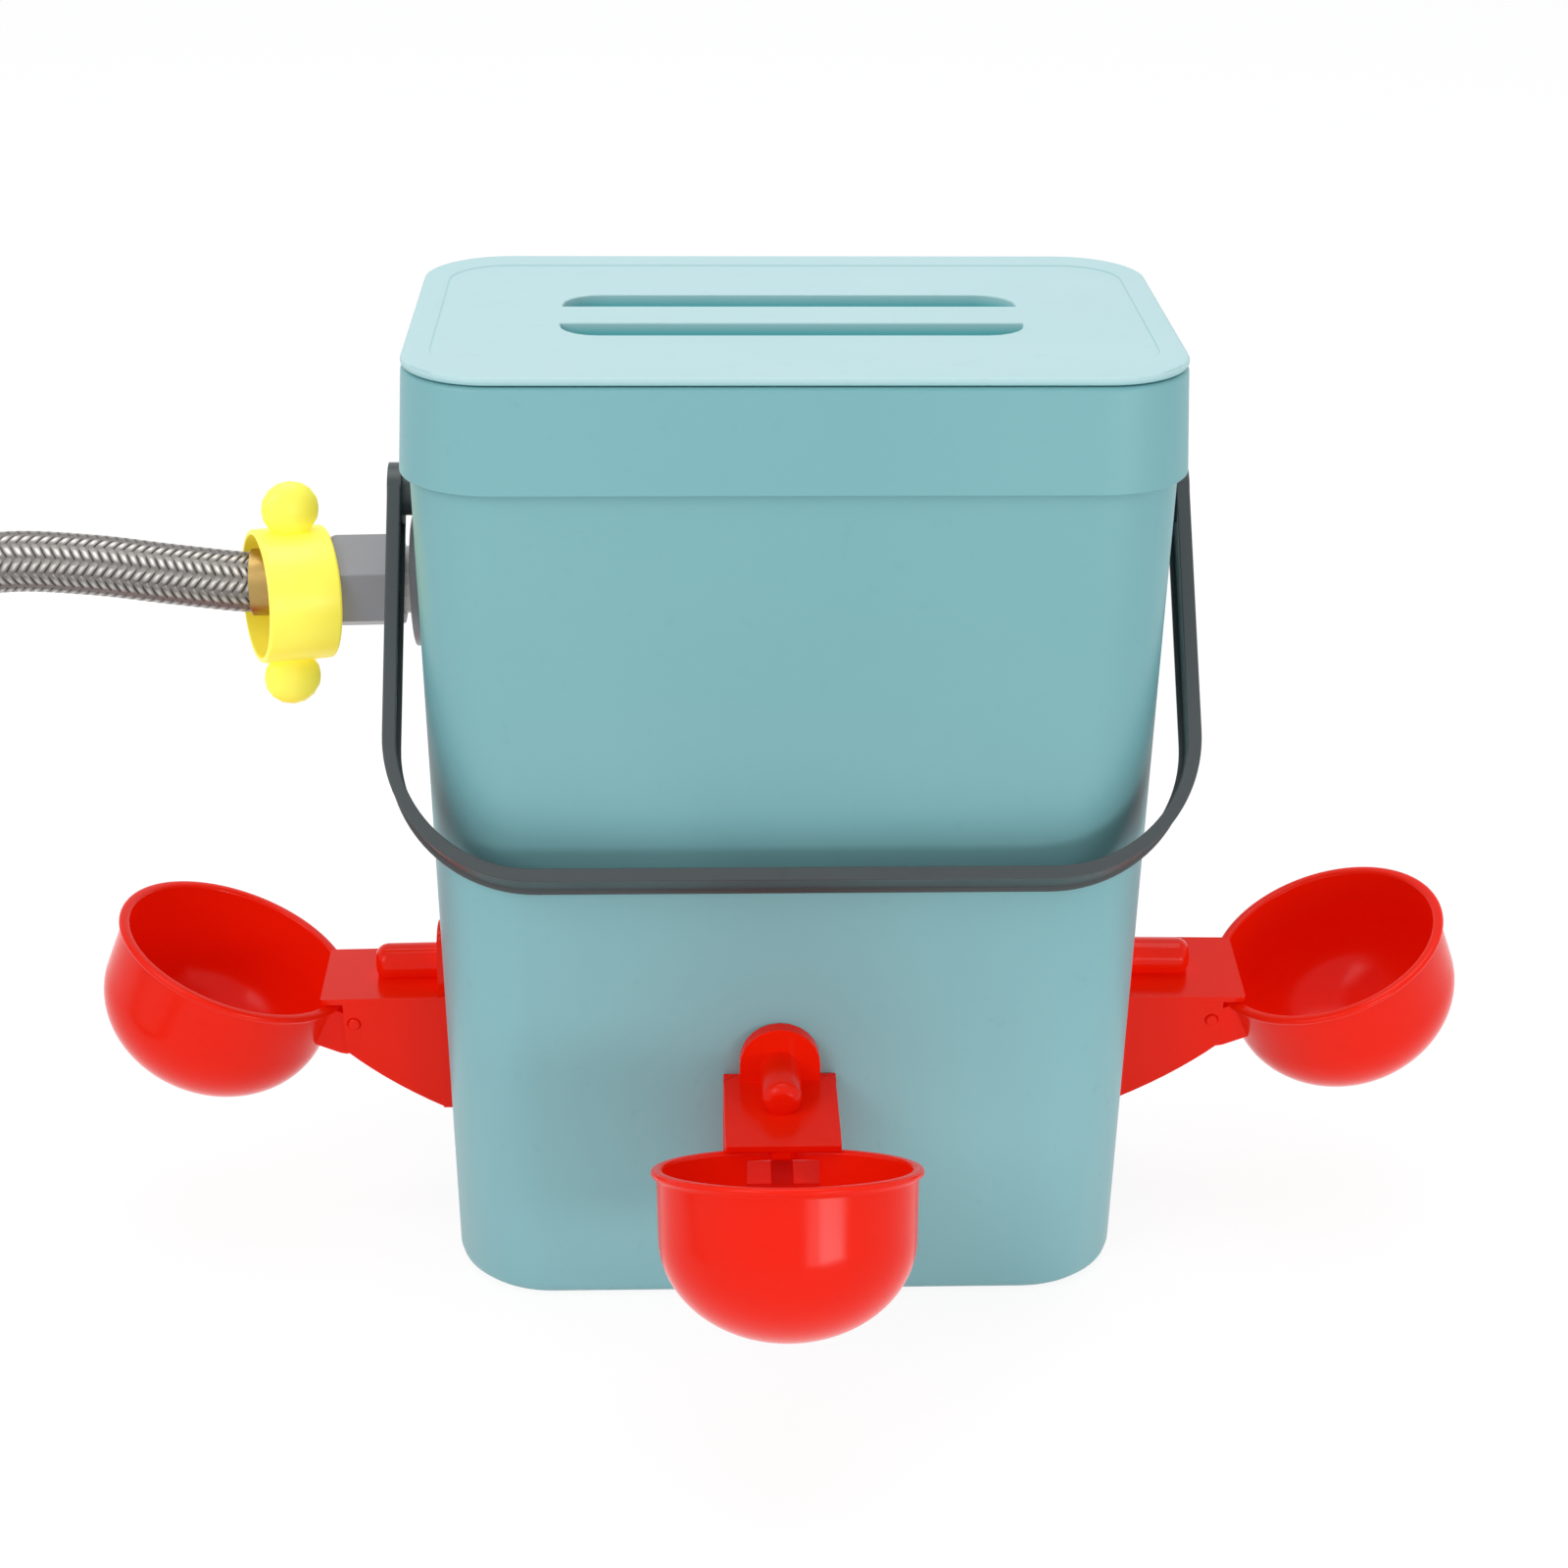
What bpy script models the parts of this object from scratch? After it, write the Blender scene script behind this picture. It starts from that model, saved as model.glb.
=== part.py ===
"""Poultry drinker: a lidded pail with three tilting cups, a float valve and a braided feed hose.

Metres, +Z up. The origin is the centre of the pail's underside. -Y is the front.
"""

import bmesh
import bpy
from math import asin, atan2, cos, hypot, pi, radians, sin, sqrt
from mathutils import Matrix, Vector

# Clearances
GAP = 0.0003
RUNNING_GAP = 0.0004
SLIP_GAP = 0.0005

# Pail
LID_WIDTH = 0.2000
LID_DEPTH = 0.1246
LID_CORNER_RADIUS = 0.0233
TOTAL_HEIGHT = 0.2711
SHOULDER_INSET = 0.0011
WALL_TAPER = 0.0042
BASE_CORNER_RADIUS = 0.0280
BASE_EDGE_RADIUS = 0.0040
WALL = 0.0020
FLOOR = 0.0026
NECK_INSET = 0.0021

# Rim collar
COLLAR_HEIGHT = 0.0276
COLLAR_FLARE = 0.00145
COLLAR_WALL = 0.0018
COLLAR_FLANGE = 0.0020
COLLAR_LIP_DEPTH = 0.0080
COLLAR_LIP_WALL = 0.0016
COLLAR_EDGE_RADIUS = 0.0008
SHOULDER_COVER = 0.0020

# Lid
LID_PLATE = 0.0022
LID_PANEL_STEP = 0.0003
LID_BORDER_SIDE = 0.0070
LID_BORDER_FRONT = 0.0110
LID_SKIRT_DEPTH = 0.0066
LID_SKIRT_WALL = 0.0015
LID_EDGE_RADIUS = 0.0006
LID_LINE_WIDTH = 0.0004
SLOT_LENGTH = 0.1218
SLOT_WIDTH = 0.0127
SLOT_CORNER_RADIUS = 0.0105
SLOT_DEPTH = 0.0105
SLOT_DRAFT = 0.0010
SLOT_WALL = 0.0017
GRIP_WIDTH = 0.0162
GRIP_OFFSET = -0.0008

# Carrying handle
PIVOT_DROP = 0.0200
HANDLE_REACH = 0.1100
HANDLE_CLEARANCE = 0.0032
HANDLE_THICKNESS = 0.0036
HANDLE_DEPTH = 0.0166
HANDLE_WEB = 0.0016
HANDLE_LIP = 0.0012
HANDLE_GROOVE = 0.0009
HANDLE_CORNER_RADIUS = 0.0400
HUB_BOSS_RADIUS = 0.0060
STUB_RADIUS = 0.0040
STUB_PAST_WALL = 0.0036
CAP_RADIUS = 0.0070
CAP_END_WALL = 0.0010

# Drinker ports in the pail wall
SIDE_PORT_HEIGHT = 0.0783
FRONT_PORT_DROP = 0.0014
FRONT_PORT_OFFSET = -0.0032
LEFT_PORT_ROLL = radians(-1.0)
RIGHT_PORT_ROLL = radians(7.5)

# Drinker bracket
STEM_RADIUS = 0.0050
STEM_PAST_WALL = 0.0140
STEM_BORE_RADIUS = 0.0026
TUBE_RADIUS = 0.0054
TUBE_LENGTH = 0.0227
TUBE_END_RADIUS = 0.0035
FLANGE_THICKNESS = 0.0040
FLANGE_ARCH_RADIUS = 0.0110
FLANGE_ARCH_RISE = 0.0011
BRACKET_WIDTH = 0.0307
BRACKET_WALL = 0.0020
FLANGE_OVERHANG = 0.0001
CHEEK_INSET = 0.0002
PLATE_DROP = 0.0038
PLATE_THICKNESS = 0.0018
PLATE_REACH = 0.0378
PLATE_CORNER_RADIUS = 0.0010
CHEEK_REACH = 0.0315
CHEEK_FRONT_HEIGHT = 0.0171
CHEEK_BACK_HEIGHT = 0.0368
CHEEK_BELLY_REACH = 0.0199
CHEEK_BELLY_HEIGHT = 0.0281
SPOUT_WIDTH = 0.0066
SPOUT_HEIGHT = 0.0024
SPOUT_LENGTH = 0.0022

# Drinker cup
PIN_REACH = 0.0286
PIN_DROP = 0.0120
PIN_RADIUS = 0.00175
PIN_PROUD = 0.0005
CUP_TILT = radians(24.0)
CUP_REACH = 0.0382
RIM_RISE = 0.0023
RIM_RADIUS = 0.0349
RIM_LIP = 0.0015
RIM_HEIGHT = 0.0022
CUP_WALL = 0.0017
CUP_STRAIGHT = 0.0175
CUP_DEPTH = 0.0442
CUP_TAPER = 0.0004
NECK_EYE_RADIUS = 0.0046
NECK_FOOT = 0.0120
NECK_WALL = 0.0030
NECK_SILL = 0.0035
FINGER_RADIUS = 0.0015
FINGER_WIDTH = 0.0060
FINGER_DROP = 0.0060

# Drinker valve
VALVE_REACH = 0.0188
VALVE_ROD_RADIUS = 0.0012
VALVE_SHOULDER_RADIUS = 0.0018
VALVE_PAD_RADIUS = 0.0046
VALVE_PAD_THICKNESS = 0.0012
SEAL_RADIUS = 0.0030
SEAL_THICKNESS = 0.0014
SPRING_WIRE_RADIUS = 0.0003
SPRING_RADIUS = 0.0040
SPRING_TURNS = 4
SPRING_POINTS_PER_TURN = 8

# Stem fixing inside the pail
STEM_GASKET_THICKNESS = 0.0020
STEM_GASKET_RADIUS = 0.0095
STEM_NUT_FLATS = 0.0170
STEM_NUT_THICKNESS = 0.0060

# Inlet and float valve
INLET_DROP = 0.0276
INLET_OFFSET = 0.0080
SHANK_RADIUS = 0.0093
SHANK_BORE_RADIUS = 0.0040
INLET_GASKET_RADIUS = 0.0192
INLET_GASKET_THICKNESS = 0.0023
FLANGE_NUT_RADIUS = 0.0185
FLANGE_NUT_FLANGE = 0.0022
FLANGE_NUT_FLATS = 0.0240
FLANGE_NUT_LENGTH = 0.0050
VALVE_FLANGE_RADIUS = 0.0140
VALVE_FLANGE_THICKNESS = 0.0030
VALVE_GASKET_THICKNESS = 0.0020
BARREL_RADIUS = 0.0085
BARREL_LENGTH = 0.0200
FORK_LENGTH = 0.0120
FORK_WALL = 0.0030
FORK_WIDTH = 0.0130
PISTON_RADIUS = 0.0034
PISTON_LENGTH = 0.0130
PISTON_PROUD = 0.0050
NOZZLE_WALL = 0.0020
LEVER_PIN_RADIUS = 0.0015
LEVER_PIN_DROP = 0.0070
LEVER_RADIUS = 0.0020
LEVER_LENGTH = 0.0560
LEVER_EYE_RADIUS = 0.0038
LEVER_DROOP = radians(42.0)
LEVER_SWING = radians(36.0)
FLOAT_RADIUS = 0.0190
FLOAT_LENGTH = 0.0340
FLOAT_EDGE_RADIUS = 0.0060

# Feed hose
HOSE_NUT_FLATS = 0.0240
HOSE_NUT_TURN = radians(-5.0)
HOSE_NUT_LENGTH = 0.0200
HOSE_NUT_END_WALL = 0.0028
HOSE_WASHER_THICKNESS = 0.0020
HOSE_WASHER_RADIUS = 0.0090
TAIL_FLANGE_RADIUS = 0.0090
TAIL_FLANGE_THICKNESS = 0.0016
TAIL_NECK_RADIUS = 0.0062
TAIL_BORE_RADIUS = 0.0040
FERRULE_WALL = 0.0004
FERRULE_LENGTH = 0.0215
FERRULE_END_WALL = 0.0040
HOSE_RADIUS = 0.0086
HOSE_POINTS = 14
HOSE_ROUTE = [
    (-0.1700, 0.0079, 0.1950),
    (-0.1920, 0.0076, 0.1979),
    (-0.2160, 0.0070, 0.1990),
    (-0.2410, 0.0062, 0.1945),
    (-0.2645, 0.0050, 0.1820),
    (-0.2835, 0.0025, 0.1620),
    (-0.2950, -0.0020, 0.1355),
    (-0.3005, -0.0090, 0.1070),
    (-0.3030, -0.0200, 0.0790),
    (-0.3050, -0.0370, 0.0530),
    (-0.3070, -0.0610, 0.0310),
    (-0.3090, -0.0900, 0.0168),
    (-0.3120, -0.1220, 0.0117),
    (-0.3155, -0.1560, 0.0122),
]
HOSE_END = (-0.3190, -0.1960, 0.0124)

# Wing grip round the hose's ferrule
GRIP_RADIUS = 0.0185
GRIP_WALL = 0.0015
GRIP_LENGTH = 0.0200
GRIP_SPOT = 0.0393
GRIP_SHIFT = 0.0031
GRIP_SAG = 0.0025
GRIP_PITCH = radians(-3.5)
GRIP_YAW = radians(20.0)
EAR_RADIUS = 0.0080
EAR_THICKNESS = 0.0100
EAR_SPREAD = 0.0245

# Roundness of curved forms
CORNER_STEPS = 6
BOWL_STEPS = 6
BEND_STEPS = 8
SMALL_STEPS = 12
ROUND_STEPS = 18
LARGE_STEPS = 24
CUP_STEPS = 28

# Sizes worked out from the ones above
DEPTH_CUT = (LID_WIDTH - LID_DEPTH) / 2
CORNER_CENTRE = LID_WIDTH / 2 - LID_CORNER_RADIUS
COLLAR_TOP = TOTAL_HEIGHT - LID_PLATE - GAP
COLLAR_BOTTOM = COLLAR_TOP - COLLAR_HEIGHT
PAIL_TOP = COLLAR_TOP - COLLAR_FLANGE - GAP
SHOULDER_HEIGHT = COLLAR_BOTTOM + SHOULDER_COVER
SHOULDER_HALF = LID_WIDTH / 2 - SHOULDER_INSET
BASE_HALF = SHOULDER_HALF - WALL_TAPER
DRAFT = WALL_TAPER / SHOULDER_HEIGHT
PIVOT_HEIGHT = COLLAR_BOTTOM - PIVOT_DROP
INLET_HEIGHT = PIVOT_HEIGHT - INLET_DROP


def wall_at(height):
    """Half the pail's outer width at a height, below the shoulder."""
    return BASE_HALF + DRAFT * height


def material(name, colour, roughness, metallic=0.0):
    """A plain finish in the piece's own colour."""
    made = bpy.data.materials.new(name)
    made.use_nodes = True
    shader = made.node_tree.nodes["Principled BSDF"]
    shader.inputs["Base Color"].default_value = (*colour, 1.0)
    shader.inputs["Roughness"].default_value = roughness
    shader.inputs["Metallic"].default_value = metallic
    made.diffuse_color = (*colour, 1.0)
    return made


def as_mesh(bm, name):
    """A mesh from a bmesh, faces out and smooth but for its real edges."""
    bmesh.ops.recalc_face_normals(bm, faces=bm.faces)
    mesh = bpy.data.meshes.new(name)
    bm.to_mesh(mesh)
    bm.free()
    mesh.shade_smooth()
    mesh.set_sharp_from_angle(angle=radians(35))
    return mesh


def place(name, mesh, finish, parent=None, matrix=None):
    """An object for one piece, under its parent's frame."""
    made = bpy.data.objects.new(name, mesh)
    bpy.context.scene.collection.objects.link(made)
    if finish is not None:
        mesh.materials.clear()
        mesh.materials.append(finish)
    made.parent = parent
    if matrix is not None:
        made.matrix_basis = matrix
    return made


def frame(name, parent=None, matrix=None):
    """An empty that carries pieces."""
    made = bpy.data.objects.new(name, None)
    bpy.context.scene.collection.objects.link(made)
    made.parent = parent
    if matrix is not None:
        made.matrix_basis = matrix
    return made


def loft(rings, name, closed=False):
    """A solid skin through rings of equal count, capped at both ends unless it closes on itself."""
    bm = bmesh.new()
    loops = [[bm.verts.new(point) for point in ring] for ring in rings]
    pairs = list(zip(loops, loops[1:]))
    if closed:
        pairs.append((loops[-1], loops[0]))
    count = len(loops[0])
    for low, high in pairs:
        for i in range(count):
            j = (i + 1) % count
            bm.faces.new((low[i], low[j], high[j], high[i]))
    if not closed:
        bm.faces.new(loops[0][::-1])
        bm.faces.new(loops[-1])
    return as_mesh(bm, name)


def turned(profile, name, steps=ROUND_STEPS):
    """A turned solid about +Z from its profile of (radius, height) points."""
    bm = bmesh.new()
    points = [bm.verts.new((radius, 0.0, height)) for radius, height in profile]
    ends_on_axis = profile[0][0] == 0.0 and profile[-1][0] == 0.0
    edges = [bm.edges.new(pair) for pair in zip(points, points[1:])]
    if not ends_on_axis:
        edges.append(bm.edges.new((points[-1], points[0])))
    bmesh.ops.spin(
        bm,
        geom=points + edges,
        axis=(0, 0, 1),
        cent=(0, 0, 0),
        angle=2 * pi,
        steps=steps,
        use_duplicate=False,
    )
    bmesh.ops.remove_doubles(bm, verts=bm.verts, dist=1e-6)
    return as_mesh(bm, name)


def extruded(outline, low, high, name):
    """A prism on an outline of (x, y) points, from one height to another."""
    bm = bmesh.new()
    face = bm.faces.new([bm.verts.new((x, y, low)) for x, y in outline])
    grown = bmesh.ops.extrude_face_region(bm, geom=[face])
    moved = [item for item in grown["geom"] if isinstance(item, bmesh.types.BMVert)]
    bmesh.ops.translate(bm, verts=moved, vec=(0, 0, high - low))
    return as_mesh(bm, name)


def combine(base, tool, operation):
    """Joins a second mesh to the first, or cuts it away, and returns the result."""
    first = place("first", base, None)
    second = place("second", tool, None)
    second.hide_render = True
    second.display_type = "WIRE"
    step = first.modifiers.new("combine", "BOOLEAN")
    step.operation = operation
    step.solver = "EXACT"
    step.object = second
    bpy.context.view_layer.update()
    graph = bpy.context.evaluated_depsgraph_get()
    result = bpy.data.meshes.new_from_object(first.evaluated_get(graph))
    result.name = base.name
    bpy.data.objects.remove(first)
    bpy.data.objects.remove(second)
    result.shade_smooth()
    result.set_sharp_from_angle(angle=radians(35))
    return result


def fuse(base, *tools):
    for tool in tools:
        base = combine(base, tool, "UNION")
    return base


def cut(base, *tools):
    for tool in tools:
        base = combine(base, tool, "DIFFERENCE")
    return base


def turn_to(mesh, matrix):
    """The same mesh, moved inside its own frame."""
    mesh.transform(matrix)
    return mesh


def rod(radius, low, high, name, steps=ROUND_STEPS):
    return turned([(0.0, low), (radius, low), (radius, high), (0.0, high)], name, steps)


def tube(bore, radius, low, high, name, steps=ROUND_STEPS):
    return turned([(bore, low), (radius, low), (radius, high), (bore, high)], name, steps)


def arc(centre, radius, start, end, steps):
    """Points on an arc in a plane, both ends included."""
    made = []
    for step in range(steps + 1):
        angle = start + (end - start) * step / steps
        made.append((centre[0] + radius * cos(angle), centre[1] + radius * sin(angle)))
    return made


def bend(start, control, end, steps):
    """Points on a quadratic curve, both ends included."""
    made = []
    for step in range(steps + 1):
        t = step / steps
        weights = ((1 - t) ** 2, 2 * t * (1 - t), t ** 2)
        spots = (start, control, end)
        made.append(tuple(sum(w * spot[axis] for w, spot in zip(weights, spots)) for axis in (0, 1)))
    return made


def hexagon(flats):
    corner = flats / 2 / cos(pi / 6)
    return [(corner * cos(pi / 3 * i), corner * sin(pi / 3 * i)) for i in range(6)]


def rounded_rectangle(half_width, half_depth, radius, height, steps=CORNER_STEPS):
    """A ring of points, anticlockwise from above."""
    ring = []
    for corner, (side, end) in enumerate(((1, 1), (-1, 1), (-1, -1), (1, -1))):
        centre = (side * (half_width - radius), end * (half_depth - radius))
        quarter = arc(centre, radius, corner * pi / 2, (corner + 1) * pi / 2, steps)
        ring += [(x, y, height) for x, y in quarter]
    return ring


def rim_ring(half_width, height):
    """A ring whose corners share the lid's corner centres."""
    return rounded_rectangle(half_width, half_width - DEPTH_CUT, half_width - CORNER_CENTRE, height)


def pail_ring(height, inset):
    """A ring on the pail's drafted wall, or inside it by an inset."""
    half = wall_at(height)
    share = height / SHOULDER_HEIGHT
    top_radius = wall_at(SHOULDER_HEIGHT) - CORNER_CENTRE
    radius = BASE_CORNER_RADIUS + (top_radius - BASE_CORNER_RADIUS) * share
    return rounded_rectangle(half - inset, half - inset - DEPTH_CUT, radius - inset, height)


def wall_frame(name, side, height, across=0.0, roll=0.0):
    """An empty on the wall's outer face. Its +X points out of the wall and its +Z up along it, but for its roll."""
    reach = wall_at(height)
    lean = atan2(DRAFT, 1.0)
    if side == "front":
        spot = (across, -(reach - DEPTH_CUT), height)
        heading = -pi / 2
    elif side == "left":
        spot = (-reach, across, height)
        heading = pi
    else:
        spot = (reach, across, height)
        heading = 0.0
    matrix = Matrix.Translation(spot) @ Matrix.Rotation(heading, 4, "Z") @ Matrix.Rotation(lean, 4, "Y")
    matrix = matrix @ Matrix.Rotation(roll, 4, "X")
    return frame(name, matrix=matrix), matrix


ALONG_X = Matrix.Rotation(pi / 2, 4, "Y")
ALONG_Y = Matrix.Rotation(-pi / 2, 4, "X")
ON_SIDE = Matrix.Rotation(pi / 2, 4, "X")


# Pail

def pail_mesh():
    neck = wall_at(SHOULDER_HEIGHT) - NECK_INSET
    inner_neck = neck - WALL
    ledge = SHOULDER_HEIGHT + NECK_INSET / 2
    rings = [pail_ring(0.0, BASE_EDGE_RADIUS)]
    for step in range(1, 4):
        angle = pi / 2 * step / 3
        inset = BASE_EDGE_RADIUS * (1 - sin(angle))
        rings.append(pail_ring(BASE_EDGE_RADIUS * (1 - cos(angle)), inset))
    rings.append(pail_ring(SHOULDER_HEIGHT, 0.0))
    rings.append(rim_ring(neck, ledge))
    rings.append(rim_ring(neck, PAIL_TOP))
    rings.append(rim_ring(inner_neck, PAIL_TOP))
    rings.append(rim_ring(inner_neck, ledge - WALL / 2))
    rings.append(pail_ring(SHOULDER_HEIGHT - WALL, WALL))
    rings.append(pail_ring(FLOOR + BASE_EDGE_RADIUS, WALL))
    rings.append(pail_ring(FLOOR, WALL + BASE_EDGE_RADIUS))
    return loft(rings, "pail")


def wall_cutter(matrix, radius, name):
    """A short round cutter through the wall at a port."""
    return turn_to(rod(radius, -3 * WALL, 3 * WALL, name), matrix @ ALONG_X)


# Rim collar

def collar_mesh():
    half = LID_WIDTH / 2
    foot = half + COLLAR_FLARE
    inner_lip = wall_at(SHOULDER_HEIGHT) - NECK_INSET - WALL - GAP
    underside = COLLAR_TOP - COLLAR_FLANGE
    edge = COLLAR_EDGE_RADIUS
    section = [
        (foot - COLLAR_WALL, COLLAR_BOTTOM),
        (foot, COLLAR_BOTTOM),
        (half, COLLAR_TOP - edge),
        (half - edge, COLLAR_TOP),
        (inner_lip - COLLAR_LIP_WALL, COLLAR_TOP),
        (inner_lip - COLLAR_LIP_WALL, underside - COLLAR_LIP_DEPTH),
        (inner_lip, underside - COLLAR_LIP_DEPTH),
        (inner_lip, underside),
        (half - COLLAR_WALL, underside),
    ]
    return loft([rim_ring(width, height) for width, height in section], "collar", closed=True)


# Lid

def slot_ring(side, grow, height):
    """A slot's outline: straight along the grip bar, rounded at its two far corners."""
    half = SLOT_LENGTH / 2 + grow
    near = GRIP_WIDTH / 2 - grow
    far = GRIP_WIDTH / 2 + SLOT_WIDTH + grow
    radius = SLOT_CORNER_RADIUS + grow
    outline = [(-half, near), (half, near)]
    outline += arc((half - radius, far - radius), radius, 0.0, pi / 2, 5)
    outline += arc((radius - half, far - radius), radius, pi / 2, pi, 5)
    return [(x, side * y + GRIP_OFFSET, height) for x, y in outline]


def panel_ring(inset, height):
    """The lowered panel's outline on the lid, or a ring inside it."""
    half_width = LID_WIDTH / 2 - LID_BORDER_SIDE - inset
    half_depth = LID_DEPTH / 2 - LID_BORDER_FRONT - inset
    radius = LID_CORNER_RADIUS - LID_BORDER_SIDE - inset
    return rounded_rectangle(half_width, half_depth, radius, height)


def lid_mesh():
    half = LID_WIDTH / 2
    top = TOTAL_HEIGHT
    under = top - LID_PLATE
    lip = wall_at(SHOULDER_HEIGHT) - NECK_INSET - WALL - GAP - COLLAR_LIP_WALL
    skirt = lip - SLIP_GAP
    edge = LID_EDGE_RADIUS
    section = [
        (skirt - LID_SKIRT_WALL, under),
        (skirt - LID_SKIRT_WALL, under - LID_SKIRT_DEPTH),
        (skirt, under - LID_SKIRT_DEPTH),
        (skirt, under),
        (half - edge, under),
        (half, under + edge),
        (half, top - edge),
        (half - edge, top),
    ]
    rings = [rim_ring(width, height) for width, height in section]
    rings.append(panel_ring(0.0, top))
    rings.append(panel_ring(LID_LINE_WIDTH, top - LID_PANEL_STEP))
    lid = loft(rings, "lid")
    face = top - LID_PANEL_STEP
    floor = face - SLOT_DEPTH
    for side in (-1, 1):
        mouth = slot_ring(side, SLOT_WALL, under + LID_PLATE / 3)
        foot = slot_ring(side, SLOT_WALL - SLOT_DRAFT, floor - SLOT_WALL)
        lid = fuse(lid, loft([mouth, foot], "trough"))
    for side in (-1, 1):
        mouth = slot_ring(side, 0.0, face + LID_PLATE)
        foot = slot_ring(side, -SLOT_DRAFT, floor)
        lid = cut(lid, loft([mouth, foot], "hollow"))
    return lid


# Carrying handle, hanging straight down from its pivot

def handle_mesh():
    outer = LID_WIDTH / 2 + COLLAR_FLARE + HANDLE_CLEARANCE + HANDLE_THICKNESS
    inner = outer - HANDLE_THICKNESS
    hub = HANDLE_DEPTH / 2
    corner = HANDLE_CORNER_RADIUS
    turn = (outer - corner, HANDLE_REACH - corner)
    path = [((outer, 0.0), (-1.0, 0.0))]
    for x, drop in arc(turn, corner, 0.0, pi / 2, BEND_STEPS):
        path.append(((x, drop), ((turn[0] - x) / corner, (turn[1] - drop) / corner)))
    path += [((-x, drop), (-inward, upward)) for (x, drop), (inward, upward) in reversed(path)]
    depth = hub
    lip = depth - HANDLE_LIP
    web = HANDLE_GROOVE + HANDLE_WEB
    wall_edge = depth - HANDLE_WEB
    section = [
        (0.0, -depth),
        (0.0, -lip),
        (HANDLE_GROOVE, HANDLE_GROOVE - lip),
        (HANDLE_GROOVE, lip - HANDLE_GROOVE),
        (0.0, lip),
        (0.0, depth),
        (HANDLE_THICKNESS, depth),
        (HANDLE_THICKNESS, wall_edge),
        (web, wall_edge),
        (web, -wall_edge),
        (HANDLE_THICKNESS, -wall_edge),
        (HANDLE_THICKNESS, -depth),
    ]
    rings = []
    for (x, drop), (inward, upward) in path:
        rings.append([(x + inward * into, side, -(drop + upward * into)) for into, side in section])
    bail = loft(rings, "handle")
    wall = wall_at(PIVOT_HEIGHT)
    for side in (-1, 1):
        hub_profile = [
            (0.0, outer),
            (hub, outer),
            (hub, inner),
            (HUB_BOSS_RADIUS, inner),
            (HUB_BOSS_RADIUS, wall + RUNNING_GAP),
            (STUB_RADIUS, wall + RUNNING_GAP),
            (STUB_RADIUS, wall - WALL - STUB_PAST_WALL),
            (0.0, wall - WALL - STUB_PAST_WALL),
        ]
        knuckle = turned(hub_profile, "knuckle", LARGE_STEPS)
        bail = fuse(bail, turn_to(knuckle, Matrix.Rotation(side * pi / 2, 4, "Y")))
    return bail


def handle_cap_mesh():
    """A push-on cap that keeps the handle's stub in the wall. Local +Z points out of the pail."""
    wall = wall_at(PIVOT_HEIGHT)
    inside = wall - WALL - RUNNING_GAP
    stub_end = wall - WALL - STUB_PAST_WALL
    profile = [
        (0.0, stub_end - GAP - CAP_END_WALL),
        (CAP_RADIUS - CAP_END_WALL, stub_end - GAP - CAP_END_WALL),
        (CAP_RADIUS, stub_end),
        (CAP_RADIUS, inside),
        (STUB_RADIUS + GAP, inside),
        (STUB_RADIUS + GAP, stub_end - GAP),
        (0.0, stub_end - GAP),
    ]
    return turned(profile, "handle_cap")


def handle_rest_angle():
    """How far the hanging handle leans forward before the lip of its bar meets the front wall."""
    back = HANDLE_DEPTH / 2
    lip = HANDLE_REACH - HANDLE_THICKNESS
    reach = hypot(lip, back)
    lead = atan2(back, lip)
    lean = 0.0
    for step in range(12):
        height = PIVOT_HEIGHT - reach * cos(lean - lead)
        front = wall_at(height) - DEPTH_CUT + RUNNING_GAP
        lean = asin(front / reach) + lead
    return lean


# Drinker bracket, in its wall frame: +X out of the wall, +Z up

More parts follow.
